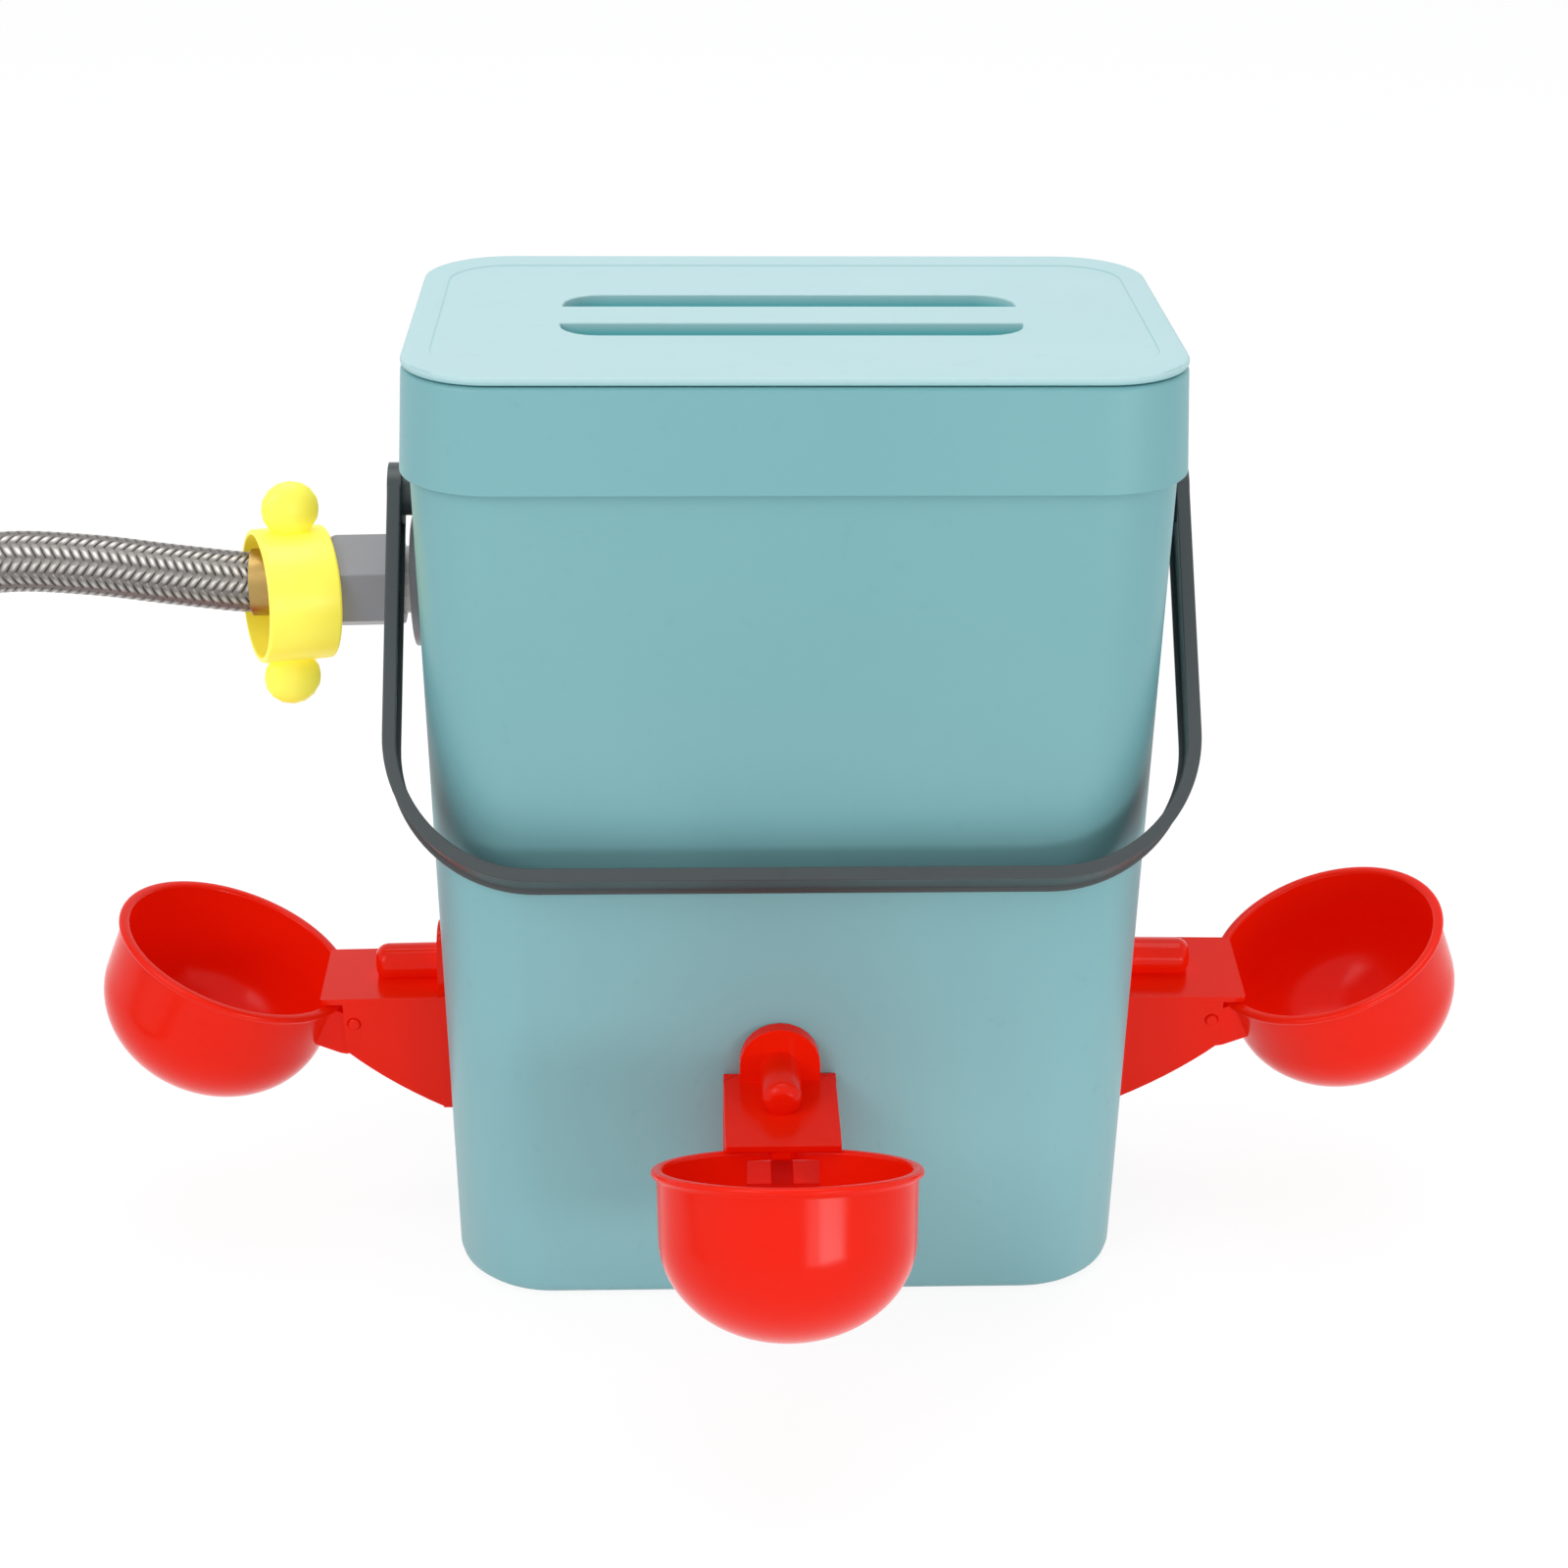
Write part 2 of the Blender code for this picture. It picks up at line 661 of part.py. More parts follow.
def bracket_mesh():
    half = BRACKET_WIDTH / 2
    top = -PLATE_DROP
    under = top - PLATE_THICKNESS
    foot = top - CHEEK_BACK_HEIGHT
    face = GAP + FLANGE_THICKNESS
    arch = arc((0.0, FLANGE_ARCH_RISE), FLANGE_ARCH_RADIUS, 0.0, pi, 12)
    side = half + FLANGE_OVERHANG
    flange_outline = [(-side, foot), (side, foot), (side, top), (FLANGE_ARCH_RADIUS, top), *arch]
    flange_outline += [(-FLANGE_ARCH_RADIUS, top), (-side, top)]
    upright = Matrix(((0, 0, 1, 0), (1, 0, 0, 0), (0, 1, 0, 0), (0, 0, 0, 1)))
    flange = turn_to(extruded(flange_outline, GAP, face, "bracket"), upright)
    root = face - GAP
    chin = (CHEEK_REACH, top - CHEEK_FRONT_HEIGHT)
    belly = (CHEEK_BELLY_REACH, top - CHEEK_BELLY_HEIGHT)
    cheek_top = top - PLATE_THICKNESS / 2
    cheek_foot = foot + FLANGE_OVERHANG
    cheek_outline = [(root, cheek_top)]
    cheek_outline += bend((root, cheek_foot), belly, chin, 7)
    cheek_outline.append((CHEEK_REACH, cheek_top))
    body = flange
    cheek_half = half - CHEEK_INSET
    for low in (-cheek_half, cheek_half - BRACKET_WALL):
        cheek = extruded(cheek_outline, low, low + BRACKET_WALL, "cheek")
        body = fuse(body, turn_to(cheek, ON_SIDE))
    round_off = PLATE_CORNER_RADIUS
    plate_outline = [(root, half), (root, -half)]
    plate_outline += arc((PLATE_REACH - round_off, round_off - half), round_off, -pi / 2, 0.0, 4)
    plate_outline += arc((PLATE_REACH - round_off, half - round_off), round_off, 0.0, pi / 2, 4)
    body = fuse(body, extruded(plate_outline, under, top, "plate"))
    nib = PLATE_REACH - GAP
    spout = [
        (nib - SPOUT_LENGTH, -SPOUT_WIDTH / 2),
        (nib - SPOUT_LENGTH / 2, -SPOUT_WIDTH / 2),
        (nib, -SPOUT_WIDTH / 4),
        (nib, SPOUT_WIDTH / 4),
        (nib - SPOUT_LENGTH / 2, SPOUT_WIDTH / 2),
        (nib - SPOUT_LENGTH, SPOUT_WIDTH / 2),
    ]
    body = fuse(body, extruded(spout, under - SPOUT_HEIGHT, under + PLATE_THICKNESS / 2, "spout"))
    inner_end = -(WALL + STEM_PAST_WALL)
    centre = TUBE_LENGTH - TUBE_END_RADIUS
    crown = arc((TUBE_RADIUS - TUBE_END_RADIUS, centre), TUBE_END_RADIUS, 0.0, pi / 2, 4)
    stem_profile = [
        (0.0, inner_end),
        (STEM_RADIUS - GAP, inner_end),
        (STEM_RADIUS, inner_end + GAP),
        (STEM_RADIUS, face - GAP),
        (TUBE_RADIUS, face - GAP),
        *crown,
        (0.0, TUBE_LENGTH),
    ]
    body = fuse(body, turn_to(turned(stem_profile, "stem"), ALONG_X))
    bore_end = VALVE_REACH + VALVE_ROD_RADIUS + 2 * RUNNING_GAP
    bore = rod(STEM_BORE_RADIUS, inner_end - WALL, bore_end, "bore", SMALL_STEPS)
    port = rod(VALVE_ROD_RADIUS + RUNNING_GAP, under - BRACKET_WALL, 0.0, "port", SMALL_STEPS)
    hinge = rod(PIN_RADIUS + GAP, -half - BRACKET_WALL, half + BRACKET_WALL, "hinge", SMALL_STEPS)
    body = cut(body, turn_to(bore, ALONG_X))
    body = cut(body, turn_to(port, Matrix.Translation((VALVE_REACH, 0.0, 0.0))))
    return cut(body, turn_to(hinge, Matrix.Translation((PIN_REACH, 0.0, -PIN_DROP)) @ ALONG_Y))


def hinge_pin_mesh():
    half = BRACKET_WIDTH / 2 + PIN_PROUD
    edge = PIN_PROUD / 2
    profile = [
        (0.0, -half),
        (PIN_RADIUS - edge, -half),
        (PIN_RADIUS, edge - half),
        (PIN_RADIUS, half - edge),
        (PIN_RADIUS - edge, half),
        (0.0, half),
    ]
    return turn_to(turned(profile, "hinge_pin", SMALL_STEPS), ALONG_Y)


# Drinker cup, level, with its hinge pin at the local origin

def bowl_arc(waist, low, bulge):
    """The bowl's rounded part, from beside its lowest point up to where its wall stands."""
    turns = [pi / 2 * step / BOWL_STEPS for step in range(1, BOWL_STEPS + 1)]
    return [(waist * sin(turn), low - bulge * cos(turn)) for turn in turns]


def bowl_mesh():
    """The bowl's outer form, solid up to its rim."""
    wall = RIM_RADIUS - RIM_LIP
    waist = wall - CUP_TAPER
    bulge = CUP_DEPTH - CUP_STRAIGHT
    low = RIM_RISE - CUP_STRAIGHT
    profile = [(0.0, low - bulge)]
    profile += bowl_arc(waist, low, bulge)
    profile.append((wall, RIM_RISE - RIM_HEIGHT - RIM_LIP / 2))
    bead = RIM_HEIGHT / 2
    profile += arc((RIM_RADIUS - bead, RIM_RISE - bead), bead, -pi / 2, pi / 2, 4)
    profile.append((0.0, RIM_RISE))
    return turned(profile, "cup", CUP_STEPS)


def hollow_mesh():
    """The space inside the bowl."""
    mouth = RIM_RADIUS - RIM_LIP - CUP_WALL
    waist = mouth - CUP_TAPER
    bulge = CUP_DEPTH - CUP_STRAIGHT - CUP_WALL
    low = RIM_RISE - CUP_STRAIGHT
    profile = [(0.0, low - bulge)]
    profile += bowl_arc(waist, low, bulge)
    bead = RIM_HEIGHT / 2
    profile += arc((mouth + bead, RIM_RISE - bead), bead, pi, pi / 2, 3)
    profile += [(mouth + bead, RIM_RISE + RIM_LIP), (0.0, RIM_RISE + RIM_LIP)]
    return turned(profile, "hollow", CUP_STEPS)


def finger_spot():
    """The lever finger's tip in the level cup's frame, from where it stands at rest."""
    back = VALVE_REACH - PIN_REACH
    drop = -FINGER_DROP
    return (
        back * cos(CUP_TILT) + drop * sin(CUP_TILT),
        drop * cos(CUP_TILT) - back * sin(CUP_TILT),
    )


def neck_half():
    return BRACKET_WIDTH / 2 - CHEEK_INSET - BRACKET_WALL - RUNNING_GAP


def neck_mesh():
    """A block behind the bowl that the hinge ears are left from."""
    eye = NECK_EYE_RADIUS
    heel = -NECK_FOOT
    end = CUP_REACH - RIM_RADIUS / 2
    outline = [(end, RIM_RISE - RIM_LIP), (eye / 2, RIM_RISE - RIM_LIP)]
    outline += arc((0.0, 0.0), eye, pi / 3, pi, 6)[1:]
    outline += arc((0.0, heel + eye), eye, pi, 3 * pi / 2, 4)
    outline.append((end, heel))
    return turn_to(extruded(outline, -neck_half(), neck_half(), "neck"), ON_SIDE)


def window_mesh():
    """What opens the neck between its ears and runs on under the rim into the bowl."""
    back = -2 * NECK_EYE_RADIUS
    front = CUP_REACH - RIM_RADIUS / 2
    sill = NECK_SILL - NECK_FOOT
    lintel = RIM_RISE - RIM_HEIGHT - RIM_LIP / 2
    rim = CUP_REACH - RIM_RADIUS - GAP
    outline = [(back, sill), (front, sill), (front, lintel), (rim, lintel), (rim, -back), (back, -back)]
    gap = neck_half() - NECK_WALL
    return turn_to(extruded(outline, -gap, gap, "window"), ON_SIDE)


def finger_mesh():
    """The lever behind the hinge that lifts the valve."""
    tip = Vector(finger_spot())
    root = Vector((0.0, NECK_SILL / 2 - NECK_FOOT))
    along = (root - tip).normalized()
    beside = Vector((-along.y, along.x)) * FINGER_RADIUS
    start = atan2(beside.y, beside.x)
    strip = arc(tuple(tip), FINGER_RADIUS, start, start + pi, 6)
    strip += [tuple(root - beside), tuple(root + beside)]
    finger = extruded(strip, -FINGER_WIDTH / 2, FINGER_WIDTH / 2, "finger")
    return turn_to(finger, ON_SIDE)


def cup_mesh():
    to_bowl = Matrix.Translation((CUP_REACH, 0.0, 0.0))
    body = fuse(turn_to(bowl_mesh(), to_bowl), neck_mesh())
    body = cut(body, turn_to(hollow_mesh(), to_bowl))
    body = cut(body, window_mesh())
    body = fuse(body, finger_mesh())
    eye_bore = rod(PIN_RADIUS + GAP, -BRACKET_WIDTH, BRACKET_WIDTH, "eye", SMALL_STEPS)
    return cut(body, turn_to(eye_bore, ALONG_Y))


# Drinker valve: the rod hangs through the plate and rests over the cup's finger

def valve_levels():
    """Heights on the valve rod in the bracket's frame, at rest, and its travel."""
    tip_height = finger_spot()[1]
    pad_foot = FINGER_RADIUS + RUNNING_GAP - PIN_DROP - FINGER_DROP
    travel = tip_height + FINGER_DROP
    return pad_foot, pad_foot + VALVE_PAD_THICKNESS, travel


def valve_rod_mesh():
    pad_foot, pad_top, travel = valve_levels()
    seat = -PLATE_DROP - PLATE_THICKNESS
    shoulder = seat - travel - GAP - SEAL_THICKNESS - GAP
    tip = VALVE_ROD_RADIUS - travel
    profile = [
        (0.0, pad_foot),
        (VALVE_PAD_RADIUS, pad_foot),
        (VALVE_PAD_RADIUS, pad_top),
        (VALVE_SHOULDER_RADIUS, pad_top),
        (VALVE_SHOULDER_RADIUS, shoulder),
        (VALVE_ROD_RADIUS, shoulder),
        (VALVE_ROD_RADIUS, tip),
        (0.0, tip + VALVE_ROD_RADIUS / 2),
    ]
    return turned(profile, "valve_rod", SMALL_STEPS)


def valve_seal_mesh():
    seat = -PLATE_DROP - PLATE_THICKNESS
    top = seat - valve_levels()[2] - GAP
    return tube(VALVE_ROD_RADIUS + GAP, SEAL_RADIUS, top - SEAL_THICKNESS, top, "valve_seal", SMALL_STEPS)


def spring_curve():
    """A compression spring between the valve pad and the plate, as one open coil."""
    low = valve_levels()[1] + GAP + SPRING_WIRE_RADIUS
    high = -PLATE_DROP - PLATE_THICKNESS - GAP - SPRING_WIRE_RADIUS
    count = SPRING_TURNS * SPRING_POINTS_PER_TURN
    points = []
    for i in range(count + 1):
        angle = 2 * pi * i / SPRING_POINTS_PER_TURN
        height = low + (high - low) * i / count
        points.append(Vector((SPRING_RADIUS * cos(angle), SPRING_RADIUS * sin(angle), height)))
    least = min(
        (points[i] - points[j]).length - 2 * SPRING_WIRE_RADIUS
        for i in range(len(points))
        for j in range(i + SPRING_POINTS_PER_TURN // 2, len(points))
    )
    print("spring: least gap between turns %.2f mm" % (least * 1000))
    return wire(points, SPRING_WIRE_RADIUS, 1, "valve_spring")


def wire(points, radius, resolution, name):
    """A round wire or hose through points, with filled ends."""
    curve = bpy.data.curves.new(name, "CURVE")
    curve.dimensions = "3D"
    curve.bevel_depth = radius
    curve.bevel_resolution = resolution
    curve.use_fill_caps = True
    spline = curve.splines.new("POLY")
    spline.points.add(len(points) - 1)
    for spot, point in zip(spline.points, points):
        spot.co = (*point, 1.0)
    return curve


# Nuts

def hex_blank_mesh(flats, low, high, name):
    """A hexagonal bar along +Z with its corners chamfered at both ends."""
    corner = flats / 2 / cos(pi / 6)
    chamfer = corner - flats / 2
    envelope = turned(
        [
            (0.0, low),
            (flats / 2, low),
            (corner, low + chamfer),
            (corner, high - chamfer),
            (flats / 2, high),
            (0.0, high),
        ],
        "envelope",
        SMALL_STEPS,
    )
    return combine(extruded(hexagon(flats), low, high, name), envelope, "INTERSECT")


def hex_nut_mesh(flats, bore, low, high, name):
    return cut(hex_blank_mesh(flats, low, high, name), rod(bore, low - flats, high + flats, "thread"))


# Places along the inlet: distances from the wall's outer face, out of the pail

GASKET_END = GAP + INLET_GASKET_THICKNESS
FLANGE_NUT_START = GASKET_END + GAP
FLANGE_NUT_END = FLANGE_NUT_START + FLANGE_NUT_LENGTH
HOSE_NUT_START = FLANGE_NUT_END + GAP
HOSE_NUT_END = HOSE_NUT_START + HOSE_NUT_LENGTH
TAIL_FLANGE_END = HOSE_NUT_END - HOSE_NUT_END_WALL - GAP
TAIL_FLANGE_START = TAIL_FLANGE_END - TAIL_FLANGE_THICKNESS
WASHER_END = TAIL_FLANGE_START - GAP
WASHER_START = WASHER_END - HOSE_WASHER_THICKNESS
SHANK_END = WASHER_START - GAP
FERRULE_START = HOSE_NUT_END + RUNNING_GAP
FERRULE_END = FERRULE_START + FERRULE_LENGTH
HOSE_START = FERRULE_START + FERRULE_END_WALL + GAP
VALVE_FLANGE_TOP = -(WALL + GAP + VALVE_GASKET_THICKNESS + GAP)
BARREL_TOP = VALVE_FLANGE_TOP - VALVE_FLANGE_THICKNESS
BARREL_END = BARREL_TOP - BARREL_LENGTH
FORK_END = BARREL_END - FORK_LENGTH
LEVER_PIN_SPOT = FORK_END + LEVER_EYE_RADIUS
PISTON_OUTER = BARREL_END - PISTON_PROUD
KNOB_SPOT = PISTON_OUTER - RUNNING_GAP - LEVER_RADIUS
KNOB_REACH = hypot(KNOB_SPOT - LEVER_PIN_SPOT, LEVER_PIN_DROP)
KNOB_ANGLE = atan2(LEVER_PIN_DROP, KNOB_SPOT - LEVER_PIN_SPOT)
PISTON_TRAVEL = KNOB_REACH * (cos(KNOB_ANGLE - LEVER_SWING) - cos(KNOB_ANGLE))


# Float valve, in the inlet's wall frame: +X out of the pail, +Z up

def valve_body_mesh():
    """Threaded shank, flange, barrel and the lever's fork."""
    nozzle = PISTON_OUTER + PISTON_LENGTH + PISTON_TRAVEL + RUNNING_GAP
    profile = [
        (SHANK_BORE_RADIUS, SHANK_END),
        (SHANK_RADIUS - GAP, SHANK_END),
        (SHANK_RADIUS, SHANK_END - GAP),
        (SHANK_RADIUS, VALVE_FLANGE_TOP),
        (VALVE_FLANGE_RADIUS, VALVE_FLANGE_TOP),
        (VALVE_FLANGE_RADIUS, BARREL_TOP),
        (BARREL_RADIUS, BARREL_TOP),
        (BARREL_RADIUS, BARREL_END),
        (PISTON_RADIUS + RUNNING_GAP, BARREL_END),
        (PISTON_RADIUS + RUNNING_GAP, nozzle),
        (SHANK_BORE_RADIUS / 2, nozzle),
        (SHANK_BORE_RADIUS / 2, nozzle + NOZZLE_WALL),
        (SHANK_BORE_RADIUS, nozzle + NOZZLE_WALL),
    ]
    body = turn_to(turned(profile, "float_valve_body"), ALONG_X)
    eye = LEVER_EYE_RADIUS
    low = -LEVER_PIN_DROP
    heel = BARREL_END + FORK_WALL
    ear = arc((LEVER_PIN_SPOT, low), eye, pi / 2, 3 * pi / 2, 6)
    ear += [(heel, low - eye / 2), (heel, low + 2 * eye), (BARREL_END, low + 2 * eye)]
    for low_side in (-FORK_WIDTH / 2, FORK_WIDTH / 2 - FORK_WALL):
        plate = extruded(ear, low_side, low_side + FORK_WALL, "fork")
        body = fuse(body, turn_to(plate, ON_SIDE))
    barrel_bore = rod(PISTON_RADIUS + RUNNING_GAP, FORK_END, nozzle, "barrel_bore")
    body = cut(body, turn_to(barrel_bore, ALONG_X))
    bore = rod(LEVER_PIN_RADIUS + GAP, -FORK_WIDTH, FORK_WIDTH, "bore", SMALL_STEPS)
    return cut(body, turn_to(bore, Matrix.Translation((LEVER_PIN_SPOT, 0.0, low)) @ ALONG_Y))


def flange_nut_mesh():
    """A flanged lock nut, its flange against the gasket."""
    brim_end = FLANGE_NUT_START + FLANGE_NUT_FLANGE
    brim = rod(FLANGE_NUT_RADIUS, FLANGE_NUT_START, brim_end, "flange_nut", LARGE_STEPS)
    body = fuse(brim, hex_blank_mesh(FLANGE_NUT_FLATS, brim_end - GAP, FLANGE_NUT_END, "hexagon"))
    return cut(body, rod(SHANK_RADIUS + GAP, FLANGE_NUT_START - WALL, FLANGE_NUT_END + WALL, "thread"))


def hose_nut_mesh():
    """A deep union nut with a hole for the hose's tail in its end wall."""
    nut = hex_nut_mesh(HOSE_NUT_FLATS, TAIL_NECK_RADIUS + GAP, HOSE_NUT_START, HOSE_NUT_END, "hose_nut")
    depth = HOSE_NUT_END - HOSE_NUT_END_WALL
    return cut(nut, rod(SHANK_RADIUS + GAP, HOSE_NUT_START - WALL, depth, "thread"))


def hose_ferrule_mesh():
    """The hose's tail and the crimped ferrule over its end, as one turned piece."""
    socket = HOSE_RADIUS + GAP
    profile = [
        (TAIL_BORE_RADIUS, TAIL_FLANGE_START),
        (TAIL_FLANGE_RADIUS, TAIL_FLANGE_START),
        (TAIL_FLANGE_RADIUS, TAIL_FLANGE_END),
        (TAIL_NECK_RADIUS, TAIL_FLANGE_END),
        (TAIL_NECK_RADIUS, FERRULE_START),
        (socket + FERRULE_WALL, FERRULE_START),
        (socket + FERRULE_WALL, FERRULE_END),
        (socket, FERRULE_END),
        (socket, FERRULE_START + FERRULE_END_WALL),
        (TAIL_BORE_RADIUS, FERRULE_START + FERRULE_END_WALL),
    ]
    return turned(profile, "hose_ferrule")


def washer_mesh(outer, low, high, name):
    return tube(SHANK_BORE_RADIUS, outer, low, high, name)


def piston_mesh():
    return rod(PISTON_RADIUS, PISTON_OUTER, PISTON_OUTER + PISTON_LENGTH, "piston")


def lever_direction(angle):
    return Vector((-cos(angle), 0.0, -sin(angle)))


def lever_mesh():
    """The float's lever about its pin: eye, pushing knob and long arm."""
    width = FORK_WIDTH - 2 * FORK_WALL - 2 * RUNNING_GAP
    eye = turn_to(rod(LEVER_EYE_RADIUS, -width / 2, width / 2, "lever"), ALONG_Y)
    knob = turn_to(rod(LEVER_RADIUS, -width / 2, width / 2, "knob", SMALL_STEPS), ALONG_Y)
    knob = turn_to(knob, Matrix.Translation((KNOB_REACH * cos(KNOB_ANGLE), 0.0, KNOB_REACH * sin(KNOB_ANGLE))))
    web = rod(LEVER_RADIUS * 0.8, 0.0, KNOB_REACH, "web", SMALL_STEPS)
    web = turn_to(web, Matrix.Rotation(pi / 2 - KNOB_ANGLE, 4, "Y"))
    arm = rod(LEVER_RADIUS, 0.0, LEVER_LENGTH + FLOAT_LENGTH / 2, "arm", SMALL_STEPS)
    arm = turn_to(arm, lever_direction(LEVER_DROOP).to_track_quat("Z", "Y").to_matrix().to_4x4())
    body = fuse(eye, web, knob, arm)
    return cut(body, turn_to(rod(LEVER_PIN_RADIUS + GAP, -width, width, "bore", SMALL_STEPS), ALONG_Y))


def float_mesh():
    """A closed-cell float pushed on the lever's end, along local +Z."""
    edge = FLOAT_EDGE_RADIUS
    socket = LEVER_RADIUS + GAP
    far = LEVER_LENGTH + FLOAT_LENGTH
    bottom = arc((FLOAT_RADIUS - edge, LEVER_LENGTH + edge), edge, -pi / 2, 0.0, 4)
    top = arc((FLOAT_RADIUS - edge, far - edge), edge, 0.0, pi / 2, 4)
    bulk = turned([(0.0, LEVER_LENGTH), *bottom, *top, (0.0, far)], "float")
    return cut(bulk, rod(socket, 0.0, LEVER_LENGTH + FLOAT_LENGTH / 2 + GAP, "socket", SMALL_STEPS))


def wing_grip_mesh():
    """A ring with two round ears, along local +Z with its ears along Y."""
    half = GRIP_LENGTH / 2
    edge = GRIP_WALL / 3
    bore = GRIP_RADIUS - GRIP_WALL
    profile = [
        (0.0, -half),
        (GRIP_RADIUS - edge, -half),
        (GRIP_RADIUS, edge - half),
        (GRIP_RADIUS, half - edge),
        (GRIP_RADIUS - edge, half),
        (0.0, half),
    ]
    body = turned(profile, "wing_grip", CUP_STEPS)
    for side in (-1, 1):
        ear = bpy.data.meshes.new("ear")
        ball = bmesh.new()
        bmesh.ops.create_uvsphere(ball, u_segments=16, v_segments=8, radius=EAR_RADIUS)
        bmesh.ops.scale(ball, vec=(EAR_THICKNESS / EAR_RADIUS / 2, 1.0, 1.0), verts=ball.verts)
        ball.to_mesh(ear)
        ball.free()
        body = fuse(body, turn_to(ear, Matrix.Translation((0.0, side * EAR_SPREAD, 0.0))))
    return cut(body, rod(bore, -2 * half, 2 * half, "bore", CUP_STEPS))


# Feed hose, in world coordinates

def smooth_route(route, count):
    """Evenly spaced points on a smooth curve through a route, whose first and last points only steer it."""
    route = [Vector(point) for point in route]
    fine = []
    for before, start, end, after in zip(route, route[1:], route[2:], route[3:]):
        for step in range(24):
            t = step / 24
            pull = (end - before) * t + (2 * before - 5 * start + 4 * end - after) * t ** 2
            pull += (3 * start - before - 3 * end + after) * t ** 3
            fine.append(start + pull / 2)
    fine.append(route[-2])
    lengths = [0.0]
    for start, end in zip(fine, fine[1:]):
        lengths.append(lengths[-1] + (end - start).length)
    points = []
    spot = 0
    for step in range(count):
        target = lengths[-1] * step / (count - 1)
        while spot < len(fine) - 2 and lengths[spot + 1] < target:
            spot += 1
        share = (target - lengths[spot]) / (lengths[spot + 1] - lengths[spot])
        points.append(fine[spot].lerp(fine[spot + 1], share))
    return points


def build_hose(inlet, finish):
    start = inlet @ Vector((HOSE_START, 0.0, 0.0))
    socket_end = inlet @ Vector((FERRULE_END, 0.0, 0.0))
    arrival = Vector(HOSE_END)
    heading = (arrival - Vector(HOSE_ROUTE[-1])).normalized()
    last = arrival + heading * (FERRULE_LENGTH - FERRULE_END_WALL - GAP)
    route = [start, socket_end, *HOSE_ROUTE, arrival, last]
    points = [start, *smooth_route(route, HOSE_POINTS), last]
    length = sum((b - a).length for a, b in zip(points, points[1:]))
    print("hose: %.3f m between its fittings' sockets" % length)
    place("feed_hose", wire(points, HOSE_RADIUS, 3, "feed_hose"), finish)
    return arrival, heading


def far_fitting_frame(arrival, heading):
    """The frame that sets a fitting's ferrule mouth on the hose's far end."""
    turned_back = (-heading).to_track_quat("X", "Z").to_matrix().to_4x4()
    return Matrix.Translation(arrival + heading * FERRULE_END) @ turned_back


# Assembly

def build_drinker(side, spot, red, metals, rubber):
    """One drinker. Its spot is a height, an offset along the wall, and the roll it was fitted with."""
    steel, thread_grey = metals
    height, across, roll = spot
    wall, matrix = wall_frame("drinker_%s_frame" % side, side, height, across, roll)
    place("bracket_" + side, bracket_mesh(), red, wall)
    hinge = Matrix.Translation((PIN_REACH, 0.0, -PIN_DROP))
    place("hinge_pin_" + side, hinge_pin_mesh(), red, wall, hinge)
    tilt = hinge @ Matrix.Rotation(-CUP_TILT, 4, "Y")
    place("cup_" + side, cup_mesh(), red, wall, tilt)
    valve = frame("valve_%s_frame" % side, wall, Matrix.Translation((VALVE_REACH, 0.0, 0.0)))
    place("valve_rod_" + side, valve_rod_mesh(), thread_grey, valve)
    place("valve_seal_" + side, valve_seal_mesh(), rubber, valve)
    place("valve_spring_" + side, spring_curve(), steel, valve)
    inner = -(WALL + GAP)
    gasket_end = inner - STEM_GASKET_THICKNESS
    gasket = tube(STEM_RADIUS + GAP, STEM_GASKET_RADIUS, gasket_end, inner, "stem_gasket")
    place("stem_gasket_" + side, turn_to(gasket, ALONG_X), rubber, wall)
    high = gasket_end - GAP
    nut = hex_nut_mesh(STEM_NUT_FLATS, STEM_RADIUS + GAP, high - STEM_NUT_THICKNESS, high, "stem_nut")
    place("stem_nut_" + side, turn_to(nut, ALONG_X), red, wall)
    return matrix


